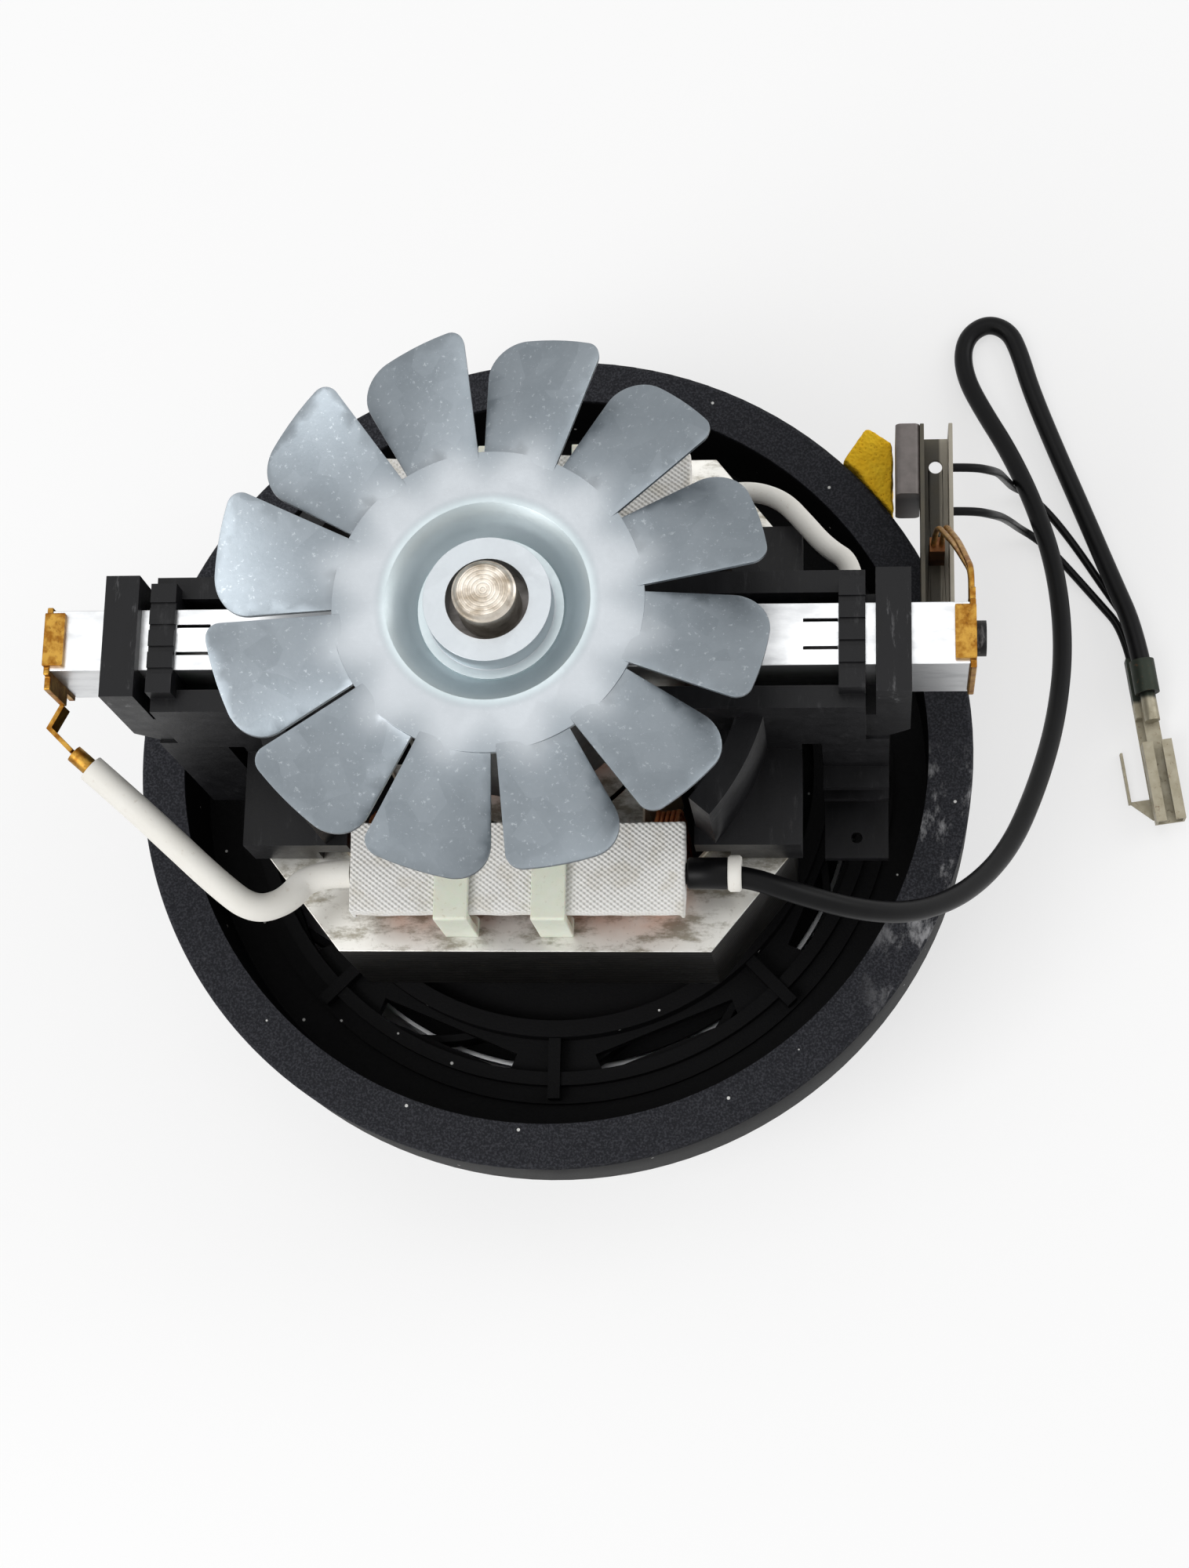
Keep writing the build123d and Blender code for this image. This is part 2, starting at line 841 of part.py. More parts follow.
def side_frame():
    """The right half of the bracket, without the drum."""
    frame = block(
        plate_inner_half, plate_half_width, -plate_half_depth, plate_half_depth, plate_z, plate_top
    )
    frame -= ring(0, plate_bore, plate_z - overrun, plate_top + overrun)
    for side in (-1, 1):
        frame += block(
            foot_inner_half,
            plate_half_width,
            side * foot_inner_depth,
            side * plate_half_depth,
            stack_top,
            plate_top,
        )
    wedge_reach = 2 * wall_radius
    wedge_y = wedge_reach * math.tan(math.radians(wall_half_angle))
    wedge = make_face(Polyline((0, 0), (wedge_reach, -wedge_y), (wedge_reach, wedge_y), close=True))
    sector = Pos(0, 0, plate_z) * extrude(wedge, plate_sheet + wall_height)
    frame += ring(wall_radius - wall_sheet, wall_radius, plate_z, plate_top + wall_height) & sector
    arm_z = plate_top + arm_keel
    arm_top = tube_z + tube_height * arm_rise_share
    frame += block(arm_inner, arm_outer, -arm_half_width, arm_half_width, arm_z, arm_top)
    frame += block(arm_inner, plate_half_width, -arm_half_width, arm_half_width, plate_z, arm_z)
    for side in (-1, 1):
        outer = side * arm_half_width
        rail_start = drum_radius - drum_wall / 2
        frame += block(rail_start, arm_inner, outer - side * rail_sheet, outer, tube_z, arm_top)
    frame -= block(
        arm_inner - overrun, window_outer, -window_half_width, window_half_width, tube_z, arm_top + overrun
    )
    frame += ribbed_bridge()
    frame += clamp_block()
    groove = (arm_outer + clamp_inner) / 2
    clamp_top = tube_top + clamp_roof
    groove_floor = clamp_top - groove_depth
    frame += block(arm_outer, clamp_inner, -clamp_half_width, clamp_half_width, arm_z, groove_floor)
    frame -= block(
        groove - groove_width / 2,
        groove + groove_width / 2,
        -arm_half_width - overrun,
        arm_half_width + overrun,
        groove_floor,
        clamp_top + overrun,
    )
    frame += bracket_leg()
    return frame


def ribbed_bridge():
    """The grooved bridge over the brush tube, between the window and the clamp block."""
    bridge = block(window_outer, arm_outer, -bridge_half_width, bridge_half_width, tube_z, bridge_top)
    pitch = 2 * bridge_half_width / (bridge_grooves + 1)
    for number in range(bridge_grooves):
        middle = -bridge_half_width + pitch * (number + 1)
        bridge -= block(
            window_outer - overrun,
            arm_outer + overrun,
            middle - bridge_groove_width / 2,
            middle + bridge_groove_width / 2,
            bridge_top - bridge_groove_depth,
            bridge_top + overrun,
        )
    return bridge


def clamp_block():
    """The outer block that grips the brush tube, slanted underneath."""
    bottom = plate_top + arm_keel
    outer_bottom = tube_z - clamp_keel
    top = tube_top + clamp_roof
    profile = Polyline(
        (clamp_inner, bottom),
        (clamp_outer - clamp_slant, bottom),
        (clamp_outer, outer_bottom),
        (clamp_outer, top),
        (clamp_inner, top),
        close=True,
    )
    side = Plane.XZ.offset(-clamp_half_width) * make_face(profile)
    return extrude(side, 2 * clamp_half_width)


def bracket_leg():
    """The stepped leg below the arm, which hangs inside the bowl."""
    top = plate_top + arm_keel
    leg = block(leg_inner, leg_outer, -leg_half_width, leg_half_width, top - leg_height, top)
    side_y = -leg_half_width
    for drop in ledge_drops:
        level = top - drop
        leg += block(leg_inner, leg_outer, side_y - ledge_reach, side_y, level - ledge_sheet, level)
    level = top - pad_drop
    pad = block(leg_inner, leg_outer, side_y - pad_reach, side_y, level - ledge_sheet, level)
    hole_x = (leg_inner + leg_outer) / 2
    hole_y = side_y - pad_reach + pad_hole_inset
    pad -= Pos(hole_x, hole_y, 0) * ring(0, pad_hole, level - overrun, level + overrun)
    return leg + pad


def tube_tool(clearance):
    """The space of the right brush tube, from inside the drum outwards."""
    half = tube_width / 2 + clearance
    return block(0, tube_end + overrun, -half, half, tube_z - clearance, tube_top + clearance)


def brush_bracket():
    right = side_frame()
    left = turned(side_frame(), 180)
    body = ring(drum_inner, drum_radius, drum_z, drum_top)
    body += ring(seat_bore, drum_radius, upper_lip_z, drum_top)
    body += right
    body += left
    body -= ring(0, bearing_radius, upper_bearing_z, drum_top + overrun)
    body -= ring(0, drum_inner, drum_z - overrun, upper_lip_z)
    opening = tube_tool(seat_gap) & ring(0, drum_radius + overrun, tube_z - overrun, tube_top + overrun)
    for tool in (opening, tube_tool(0)):
        body -= tool
        body -= mirrored(tool)
    for x, y in corner_places(screw_x, screw_y):
        body -= Pos(x, y, 0) * ring(0, screw_radius, stack_top - overrun, stack_top + screw_grip)
    return body


# Brush gear, drawn for the right side


def brush_tube():
    half = tube_width / 2
    outer = block(tube_start, tube_end, -half, half, tube_z, tube_top)
    inner = block(
        tube_start - overrun,
        tube_end + overrun,
        -half + tube_sheet,
        half - tube_sheet,
        tube_z + tube_sheet,
        tube_top - tube_sheet,
    )
    tube = outer - inner
    for side in (-1, 1):
        middle = side * tube_notch_spacing / 2
        tube -= block(
            window_outer - tube_notch_inset - tube_notch_length,
            window_outer - tube_notch_inset,
            middle - tube_notch_width / 2,
            middle + tube_notch_width / 2,
            tube_top - 2 * tube_sheet,
            tube_top + overrun,
        )
    return tube


def carbon_brush():
    half = tube_width / 2 - tube_sheet - brush_play
    low = tube_z + tube_sheet + brush_play
    high = tube_top - tube_sheet - brush_play
    bar = block(0, brush_end, -half, half, low, high)
    return bar - ring(0, brush_start, low - overrun, high + overrun)


def brush_spring():
    length = tube_end - brush_end
    sleeve = Cylinder(spring_outer, length) - Cylinder(spring_outer - spring_wall, length + 2 * overrun)
    return Pos((brush_end + tube_end) / 2, 0, tube_mid) * Rot(0, 90, 0) * sleeve


def brush_cap():
    cap = block(tube_end, cap_x, -cap_half_width, cap_half_width, tube_z, tube_top)
    for z0, z1 in ((tube_top, tube_top + cap_sheet), (tube_z - cap_sheet, tube_z)):
        cap += block(tube_end - cap_flange, cap_x, -cap_flange_half, cap_flange_half, z0, z1)
    tab_top = tube_top - cap_sheet
    cap += block(
        tube_end,
        cap_x,
        cap_half_width,
        cap_half_width + cap_tab_reach,
        tab_top - cap_tab_drop,
        tab_top,
    )
    return cap


def cap_plug():
    """The black plug pressed against the right brush cap."""
    plug = Cylinder(plug_radius, plug_proud, align=(Align.CENTER, Align.CENTER, Align.MIN))
    return Pos(cap_x, 0, tube_top - plug_drop) * Rot(0, 90, 0) * plug


# Cooling fan


def fan_petal():
    """One pitched blade, flat at the disc and twisted towards its tip."""
    level = fan_disc_z + fan_sheet / 2
    root_plane = Plane(origin=(petal_root_radius, 0, level), x_dir=(0, 1, 0), z_dir=(1, 0, 0))
    root = root_plane * Rectangle(2 * petal_root_half + overrun, petal_sheet)
    tip_plane = Plane(origin=(fan_radius + overrun, 0, level), x_dir=(0, 1, 0), z_dir=(1, 0, 0))
    tip = tip_plane * (Rot(0, 0, petal_twist) * Rectangle(2 * petal_tip_half + 2 * overrun, petal_sheet))
    slab = loft([root.faces()[0], tip.faces()[0]])
    outline = make_face(
        Polyline(
            (petal_root_radius, -petal_root_half),
            (fan_radius + overrun, -petal_tip_half - petal_flare()),
            (fan_radius + overrun, petal_tip_half + petal_flare()),
            (petal_root_radius, petal_root_half),
            close=True,
        )
    )
    outline = outline & Circle(fan_radius)
    high_corner = outline.vertices().sort_by(Axis.X)[-2:].sort_by(Axis.Y)[0]
    outline = fillet(high_corner, petal_high_corner)
    low_corner = outline.vertices().sort_by(Axis.Y)[-1]
    outline = fillet(low_corner, petal_low_corner)
    height = fan_radius
    prism = Pos(0, 0, level - height / 2) * extrude(outline, height)
    return slab & prism


def petal_flare():
    """How much wider the petal's straight sides are where they pass the fan's edge."""
    slope = (petal_tip_half - petal_root_half) / (fan_radius - petal_root_radius)
    return slope * overrun


def cooling_fan():
    fan = ring(fan_dish_top_radius - fan_sheet, fan_disc_radius, fan_disc_z, fan_top)
    cone_outer = Cone(
        fan_dish_radius,
        fan_dish_top_radius,
        fan_top - fan_floor_z,
        align=(Align.CENTER, Align.CENTER, Align.MIN),
    )
    cone_inner = Cone(
        fan_dish_radius - fan_sheet,
        fan_dish_top_radius - fan_sheet,
        fan_top - fan_floor_z,
        align=(Align.CENTER, Align.CENTER, Align.MIN),
    )
    fan += Pos(0, 0, fan_floor_z) * (cone_outer - cone_inner)
    fan += ring(fan_collar_inner, fan_dish_radius - fan_sheet / 2, fan_floor_z, fan_floor_z + fan_sheet)
    fan += ring(fan_collar_inner, fan_collar_outer, fan_floor_z, fan_top + fan_collar_proud)
    petal = fan_petal()
    for number in range(fan_blades):
        fan += turned(petal, fan_phase + 360 / fan_blades * number)
    return fan


def fan_bush():
    bottom = upper_bearing_z + bearing_width
    return ring(shaft_radius, fan_collar_inner, bottom, fan_top - fan_bush_drop)


# Cut-out group beside the rim


def cutout_tray():
    tray = block(tray_left, tray_right, tray_front, tray_back, rim_top, rim_top + tray_sheet)
    tray += block(tray_left, tray_left + tray_sheet, tray_front, tray_back, rim_top, rim_top + tray_height)
    tray += block(tray_right - tray_sheet, tray_right, tray_front, tray_back, rim_top, rim_top + tray_height)
    for inset in tray_hole_insets:
        tray -= Pos(rivet_x, tray_back - inset, 0) * ring(0, tray_hole, rim_top - overrun, rim_top + overrun)
    return tray - Pos(rivet_x, rivet_y, 0) * ring(0, rivet_radius, rim_top - overrun, rim_top + overrun)


def cutout_rivet():
    top = rim_top + tray_sheet
    bottom = rim_top - flange_sheet
    rivet = ring(0, rivet_radius, bottom, top)
    rivet += ring(0, rivet_head, top, top + rivet_head_height)
    rivet += ring(0, rivet_foot, bottom - rivet_head_height, bottom)
    return Pos(rivet_x, rivet_y, 0) * rivet


def cutout_post():
    """The small block in the tray that the brass wires stand on."""
    half = post_block / 2
    return block(
        rivet_x - half,
        rivet_x + half,
        post_y - half,
        post_y + half,
        rim_top + tray_sheet,
        rim_top + tray_height,
    )


def thermal_cutout():
    can = block(
        tray_left - cutout_width,
        tray_left,
        tray_back - cutout_length,
        tray_back,
        rim_top - cutout_below,
        rim_top + tray_height,
    )
    long_edges = can.edges().filter_by(Axis.Y)
    return fillet(long_edges, cutout_width / 4)


def cutout_cushion():
    """The foam pad that presses the cut-out against its tray."""
    right = tray_left - cutout_width - seat_gap
    left = right - cushion_width
    outline = Polyline(
        (left, tray_back - cushion_left_in),
        (right - cushion_corner_in, tray_back + cushion_corner_out),
        (right, tray_back),
        (right, tray_back - cushion_front_in),
        (left, tray_back - cushion_front_in),
        close=True,
    )
    bottom = rim_top - cushion_height
    cushion = Pos(0, 0, bottom) * extrude(make_face(outline), cushion_height)
    return cushion - ring(0, ring_radius + seat_gap, bottom - overrun, rim_top + overrun)


def cutout_wires():
    """Two stiff brass wires from the block in the tray up to the right brush cap."""
    wires = []
    start_z = rim_top + tray_height
    end_x = (tube_end + cap_x) / 2
    end_y = cap_half_width + cap_tab_reach
    rise_low, rise_high = jumper_rise_shares
    reach_low, reach_high = jumper_reach_shares
    for side in (-1, 1):
        end_z = tube_top - cap_sheet - cap_tab_drop / 2 + side * jumper_spacing / 2
        start_x = rivet_x + side * jumper_spacing / 2
        start = Vector(start_x, post_y, start_z)
        span = Vector(end_x, end_y, end_z) - start
        low = start + Vector(span.X * reach_low, span.Y * reach_low, span.Z * rise_low)
        high = start + Vector(span.X * reach_high, span.Y * reach_high, span.Z * rise_high)
        points = [
            (start_x, post_y, start_z),
            (low.X, low.Y, low.Z),
            (high.X, high.Y, high.Z),
            (end_x, end_y - span.Y * jumper_end_share, end_z),
            (end_x, end_y, end_z),
        ]
        radii = bend_radii(points, cord_bend_share)
        wires.append(wire_tube(points, radii, jumper_radius)[0])
    return solids_of(wires)


# Left terminal, white leads, black leads and receptacles


left_white_route = [
    (-56.1, -14.6, 84.0),
    (-50.6, -19.2, 82.6),
    (-45.0, -24.1, 81.0),
    (-39.4, -29.1, 79.2),
    (-34.8, -32.5, 77.0),
    (-30.7, -30.8, 74.8),
    (-28.2, -26.5, 72.8),
    (-22.55, -26.5, 72.8),
]
rear_white_route = [
    (22.55, 27.0, 72.8),
    (27.0, 27.0, 72.8),
    (31.6, 26.9, 73.8),
    (35.4, 24.9, 75.2),
    (38.2, 21.2, 76.8),
    (41.2, 17.0, 78.6),
    (44.9, 14.0, 80.2),
    (44.9, 9.2, 80.4),
]
long_route = [
    (22.55, -26.5, 72.8),
    (29.5, -26.5, 72.8),
    (37.0, -28.8, 71.0),
    (45.5, -29.9, 65.0),
    (53.0, -28.6, 57.0),
    (60.5, -23.6, 47.0),
    (67.0, -15.0, 36.5),
    (71.8, -3.0, 27.0),
    (75.4, 9.6, 19.0),
    (77.2, 23.0, 13.6),
    (76.4, 36.7, 10.4),
    (73.4, 48.4, 8.2),
    (69.6, 58.6, 5.6),
    (65.6, 66.8, 3.2),
    (63.1, 72.6, 2.0),
    (62.4, 77.4, 1.6),
    (63.6, 81.0, 1.6),
    (66.8, 82.9, 1.6),
    (70.2, 81.4, 1.6),
    (71.8, 77.6, 1.6),
    (73.6, 70.8, 1.6),
    (77.2, 60.8, 1.6),
    (81.6, 49.4, 1.6),
    (85.7, 37.9, 2.6),
    (89.25, 27.79, 4.45),
    (90.72, 17.9, 4.45),
]
short_upper_route = [
    (59.28, 42.6, 40.6),
    (62.6, 42.6, 40.6),
    (65.2, 43.4, 37.6),
    (66.0, 45.4, 31.0),
    (66.2, 48.0, 22.5),
    (66.4, 50.6, 13.5),
    (67.0, 52.8, 5.6),
    (69.4, 54.2, 1.4),
    (73.6, 52.6, 0.9),
    (77.2, 48.2, 0.8),
    (80.9, 42.9, 0.8),
    (84.9, 36.3, 0.8),
    (89.51, 29.0, 1.1),
    (90.94, 19.31, 1.1),
]
short_lower_route = [
    (59.28, 35.7, 40.6),
    (62.6, 35.7, 40.6),
    (65.3, 36.4, 37.6),
    (66.3, 38.4, 31.0),
    (66.7, 40.8, 22.5),
    (67.2, 43.2, 13.5),
    (68.4, 45.3, 5.6),
    (71.2, 46.2, 1.4),
    (75.2, 44.4, 0.9),
    (78.8, 40.4, 0.8),
    (83.0, 35.2, 0.8),
    (88.03, 28.78, 1.1),
    (89.46, 19.09, 1.1),
]


def left_brush_terminal():
    """Brass strip from the left cap's tab, bowed forward to the crimp at the white lead's end."""
    start = Vector(*left_white_route[0])
    along = (Vector(*left_white_route[1]) - start).normalized()
    back = start - along * crimp_length
    barrel = Cylinder(crimp_radius, crimp_length, align=(Align.CENTER, Align.CENTER, Align.MIN))
    barrel = Plane(origin=back, z_dir=along) * barrel
    tab_x = -(tube_end + cap_x) / 2
    tab_y = -cap_half_width - cap_tab_reach
    bow_x = tab_x - strip_bow
    bow_y = (tab_y + back.Y) / 2
    middle = Polyline((tab_x, tab_y), (bow_x, bow_y), (back.X, back.Y))
    ribbon = trace(middle, strip_sheet)
    strip = Pos(0, 0, back.Z - strip_height / 2) * extrude(ribbon, strip_height)
    strip -= block(tab_x - overrun, tab_x + overrun, tab_y, 0, back.Z - overrun, back.Z + overrun)
    return barrel + strip


def terminal_place(lead_end):
    """A frame at the end of a lead, with X along the receptacle."""
    turn = math.radians(terminal_turn)
    return Plane(origin=lead_end, x_dir=(math.cos(turn), math.sin(turn), 0), z_dir=(0, 0, 1))


def long_terminal():
    """Receptacle on the long lead: grip, wire crimp, neck and curled mouth."""
    axis_up = long_radius + grip_wall
    grip = Cylinder(long_radius + grip_wall, grip_length) - Cylinder(long_radius, grip_length + overrun)
    body = Pos(-grip_length / 2, 0, 0) * Rot(0, 90, 0) * grip
    body += Pos(wire_crimp / 2, 0, 0) * Rot(0, 90, 0) * Cylinder(wire_crimp_radius, wire_crimp)
    mouth_x = wire_crimp + terminal_neck
    half = terminal_width / 2
    base = -axis_up
    neck = wire_crimp_radius
    body += block(0, mouth_x, -neck, neck, base, base + terminal_sheet)
    body += block(0, wire_crimp, -terminal_sheet, terminal_sheet, base, 0)
    mouth = block(mouth_x, mouth_x + terminal_mouth, -half, half, base, base + terminal_height)
    mouth -= block(
        mouth_x - overrun,
        mouth_x + terminal_mouth + overrun,
        -half + terminal_sheet,
        half - terminal_sheet,
        base + terminal_sheet,
        base + terminal_height - terminal_sheet,
    )
    mouth -= block(
        mouth_x - overrun,
        mouth_x + terminal_mouth + overrun,
        -terminal_slit / 2,
        terminal_slit / 2,
        base + terminal_height / 2,
        base + terminal_height + overrun,
    )
    return terminal_place(long_route[-1]) * (body + mouth)


def short_terminal():
    """Second receptacle, lying under the first, with the two thin leads and a bent tongue."""
    half = under_width / 2
    body = block(-grip_length, wire_crimp, -half, half, -under_lead_lift, under_height - under_lead_lift)
    for side in (-1, 1):
        bore = Cylinder(short_radius, grip_length, align=(Align.CENTER, Align.CENTER, Align.MIN))
        body -= Pos(-grip_length, side * under_lead_spacing / 2, 0) * Rot(0, 90, 0) * bore
    mouth_x = wire_crimp + terminal_neck
    end_x = mouth_x + terminal_mouth
    base = -under_lead_lift
    body += block(0, end_x, -half, half, base, base + terminal_sheet)
    foot = make_face(
        Polyline(
            (end_x - under_foot, -half),
            (end_x, -half),
            (end_x - under_foot, -half - under_foot),
            close=True,
        )
    )
    body += Pos(0, 0, base) * extrude(foot, terminal_sheet)
    tongue = block(
        end_x - under_foot - under_tongue,
        end_x - under_foot + terminal_sheet,
        -half - under_foot,
        -half - under_foot + terminal_sheet,
        base,
        base + under_height / 2,
    )
    body += tongue
    upper = Vector(*short_upper_route[-1])
    lower = Vector(*short_lower_route[-1])
    return terminal_place((upper + lower) * (1 / 2)) * body


nodes = {}
nodes["inlet_cover"] = inlet_cover()
nodes["impeller_front_disc"] = impeller_front_disc()
nodes["impeller_blades"] = impeller_blades()
nodes["impeller_back_disc"] = impeller_back_disc()
nodes["impeller_washer"] = impeller_washer()
nodes["impeller_nut"] = impeller_nut()
nodes["impeller_spacer"] = impeller_spacer()
nodes["diffuser"] = diffuser()
nodes["motor_housing"] = motor_housing()
nodes["housing_screws"] = housing_screws()
print("base done")
nodes["lower_outer_race"] = outer_race(lower_bearing_z)
nodes["lower_inner_race"] = inner_race(lower_bearing_z)
nodes["lower_balls"] = balls(lower_bearing_z)
nodes["upper_outer_race"] = outer_race(upper_bearing_z)
nodes["upper_inner_race"] = inner_race(upper_bearing_z)
nodes["upper_balls"] = balls(upper_bearing_z)
nodes["bearing_shields"] = bearing_shields()
nodes["shaft"] = shaft()
nodes["armature_core"] = armature_core()
nodes["armature_winding"] = armature_winding()
nodes["commutator"] = commutator()
nodes["commutator_core"] = commutator_core()
nodes["stator_core"] = stator_core()
nodes["slot_liners"] = slot_liners()
print("rotor and stator done")
nodes["front_coil"] = front_coil()
nodes["rear_coil"] = turned(nodes["front_coil"], 180)
nodes["front_coil_tape"] = coil_tape()
nodes["rear_coil_tape"] = turned(nodes["front_coil_tape"], 180)
nodes["coil_retainers"] = coil_retainers()
print("coils done")
nodes["brush_bracket"] = brush_bracket()
right_gear = {
    "brush_tube": brush_tube(),
    "brush": carbon_brush(),
    "brush_spring": brush_spring(),
    "brush_cap": brush_cap(),
}
for name, shape in right_gear.items():
    nodes["right_" + name] = shape
    nodes["left_" + name] = turned(shape, 180)
nodes["cap_plug"] = cap_plug()
nodes["cooling_fan"] = cooling_fan()
nodes["fan_bush"] = fan_bush()
print("bracket and fan done")
nodes["cutout_tray"] = cutout_tray()
nodes["cutout_rivet"] = cutout_rivet()
nodes["cutout_post"] = cutout_post()
nodes["thermal_cutout"] = thermal_cutout()
nodes["cutout_cushion"] = cutout_cushion()
nodes["cutout_wires"] = cutout_wires()
nodes["left_white_lead"] = cord("left white lead", left_white_route, white_radius)
nodes["rear_white_lead"] = cord("rear white lead", rear_white_route, rear_white_radius)
nodes["left_brush_terminal"] = left_brush_terminal()
nodes["long_terminal"] = long_terminal()
nodes["short_terminal"] = short_terminal()
nodes["long_lead"] = cord("long lead", long_route, long_radius)
nodes["short_lead_upper"] = cord("short lead, upper", short_upper_route, short_radius)
nodes["short_lead_lower"] = cord("short lead, lower", short_lower_route, short_radius)

for name, shape in nodes.items():
    export_step(shape, f"parts/{name}.step")
print(len(nodes), "nodes written")
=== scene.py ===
import math
import random

import bmesh
import bpy
from mathutils import Matrix, Quaternion, Vector, noise


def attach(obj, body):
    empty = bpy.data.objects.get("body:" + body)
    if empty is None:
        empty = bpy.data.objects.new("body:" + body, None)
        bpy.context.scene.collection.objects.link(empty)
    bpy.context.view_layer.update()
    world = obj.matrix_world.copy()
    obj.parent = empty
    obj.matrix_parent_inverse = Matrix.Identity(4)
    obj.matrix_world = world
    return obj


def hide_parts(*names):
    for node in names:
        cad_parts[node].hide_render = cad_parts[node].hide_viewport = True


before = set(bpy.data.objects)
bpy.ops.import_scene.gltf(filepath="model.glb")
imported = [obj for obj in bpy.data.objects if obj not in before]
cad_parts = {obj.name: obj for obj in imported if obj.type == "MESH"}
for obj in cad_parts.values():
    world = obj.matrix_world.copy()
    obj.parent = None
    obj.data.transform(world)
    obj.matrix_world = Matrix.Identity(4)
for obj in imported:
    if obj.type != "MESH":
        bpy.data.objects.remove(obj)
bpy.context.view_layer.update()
mm = 0.001


def inMetres(points):
    return [Vector(p) * mm for p in points]


# Camera, solved from the rim circle and the fan's height

camera = {
    "turn": (2.88678467, 0.0123960744, -0.144405846),
    "place": (46.757, -105.767, 429.033),
    "focalPixels": 3505.675,
    "imageHeight": 2000,
    "sensor": 36.0,
    "clipStart": 0.01,
}


def setCamera():
    turn = Vector(camera["turn"])
    looks = Quaternion(turn.normalized(), turn.length).to_matrix()
    right, down, ahead = looks[0], looks[1], looks[2]
    pose = Matrix((right, -down, -ahead)).transposed().to_4x4()
    pose.translation = Vector(camera["place"]) * mm
    data = bpy.data.cameras.new("camera")
    data.sensor_fit = "VERTICAL"
    data.sensor_height = camera["sensor"]
    data.lens = camera["focalPixels"] * camera["sensor"] / camera["imageHeight"]
    data.clip_start = camera["clipStart"]
    viewer = bpy.data.objects.new("camera", data)
    viewer.matrix_world = pose
    bpy.context.scene.collection.objects.link(viewer)
    bpy.context.scene.camera = viewer


setCamera()
print("camera set")


# Shader building: a signal is one socket, and sums of signals add Math nodes


class Signal:
    def __init__(self, recipe, socket):
        self.recipe = recipe
        self.socket = socket

    def maths(self, operation, first, second=None):
        sockets = {0: first}
        if second is not None:
            sockets[1] = second
        return self.recipe.add("ShaderNodeMath", {"operation": operation}, sockets)

    def __add__(self, other):
        return self.maths("ADD", self, other)

    def __radd__(self, other):
        return self.maths("ADD", other, self)

    def __sub__(self, other):
        return self.maths("SUBTRACT", self, other)

    def __rsub__(self, other):
        return self.maths("SUBTRACT", other, self)

    def __mul__(self, other):
        return self.maths("MULTIPLY", self, other)

    def __rmul__(self, other):
        return self.maths("MULTIPLY", other, self)

    def __pow__(self, other):
        return self.maths("POWER", self, other)

    def sine(self):
        return self.maths("SINE", self)

    def between(self, low, high):
        # 0 below low, 1 above high, with a soft step
        settings = {"interpolation_type": "SMOOTHSTEP"}
        sockets = {"Value": self, "From Min": low, "From Max": high}
        return self.recipe.add("ShaderNodeMapRange", settings, sockets)

    def across(self, edge):
        # the same over a stretch in millimetres
        return self.between(edge[0] * mm, edge[1] * mm)

    def waves(self, pitch):
        return (self * (2 * math.pi / (pitch * mm))).sine()


class Recipe:
    def __init__(self, name, **fixed):
        self.material = bpy.data.materials.new(name)
        self.material.use_nodes = True
        self.tree = self.material.node_tree
        self.shader = next(n for n in self.tree.nodes if n.type == "BSDF_PRINCIPLED")
        for label, value in fixed.items():
            self.shader.inputs[label.replace("_", " ")].default_value = value
        coords = self.add("ShaderNodeTexCoord", {}, {}, "Object")
        self.place = coords
        parts = self.tree.nodes.new("ShaderNodeSeparateXYZ")
        self.tree.links.new(coords.socket, parts.inputs[0])
        self.x = Signal(self, parts.outputs[0])
        self.y = Signal(self, parts.outputs[1])
        self.z = Signal(self, parts.outputs[2])

    def add(self, kind, settings, sockets, outlet=0):
        made = self.tree.nodes.new(kind)
        for label, value in settings.items():
            setattr(made, label, value)
        for label, value in sockets.items():
            self.feed(made.inputs[label], value)
        return Signal(self, made.outputs[outlet])

    def feed(self, socket, value):
        if isinstance(value, Signal):
            self.tree.links.new(value.socket, socket)
        elif isinstance(value, tuple) and len(value) == 3 and socket.type == "RGBA":
            socket.default_value = (*value, 1.0)
        else:
            socket.default_value = value

    def noise(self, size, detail=3.0, rough=0.55, stretch=(1, 1, 1)):
        sockets = {
            "Vector": self.scaled(stretch),
            "Scale": 1 / (size * mm),
            "Detail": detail,
            "Roughness": rough,
        }
        return self.add("ShaderNodeTexNoise", {}, sockets, "Fac")

    def cells(self, size, outlet="Distance"):
        sockets = {"Vector": self.place, "Scale": 1 / (size * mm)}
        return self.add("ShaderNodeTexVoronoi", {}, sockets, outlet)

    def scaled(self, stretch):
        if stretch == (1, 1, 1):
            return self.place
        settings = {"operation": "MULTIPLY"}
        return self.add("ShaderNodeVectorMath", settings, {0: self.place, 1: stretch})

    def grey(self, colour):
        return self.add("ShaderNodeRGBToBW", {}, {0: colour})

    def radius(self):
        return (self.x * self.x + self.y * self.y) ** 0.5

    def angle(self):
        return self.add("ShaderNodeMath", {"operation": "ARCTAN2"}, {0: self.y, 1: self.x})

    def mix(self, amount, first, second):
        # sockets 6 and 7 take the two colours, socket 2 gives theirs mixed
        settings = {"data_type": "RGBA"}
        return self.add("ShaderNodeMix", settings, {0: amount, 6: first, 7: second}, 2)

    def colour(self, value):
        self.feed(self.shader.inputs["Base Color"], value)

    def rough(self, value):
        self.feed(self.shader.inputs["Roughness"], value)

    def bump(self, height, depth, strength):
        sockets = {"Height": height, "Distance": depth * mm, "Strength": strength}
        normal = self.add("ShaderNodeBump", {}, sockets)
        self.feed(self.shader.inputs["Normal"], normal)


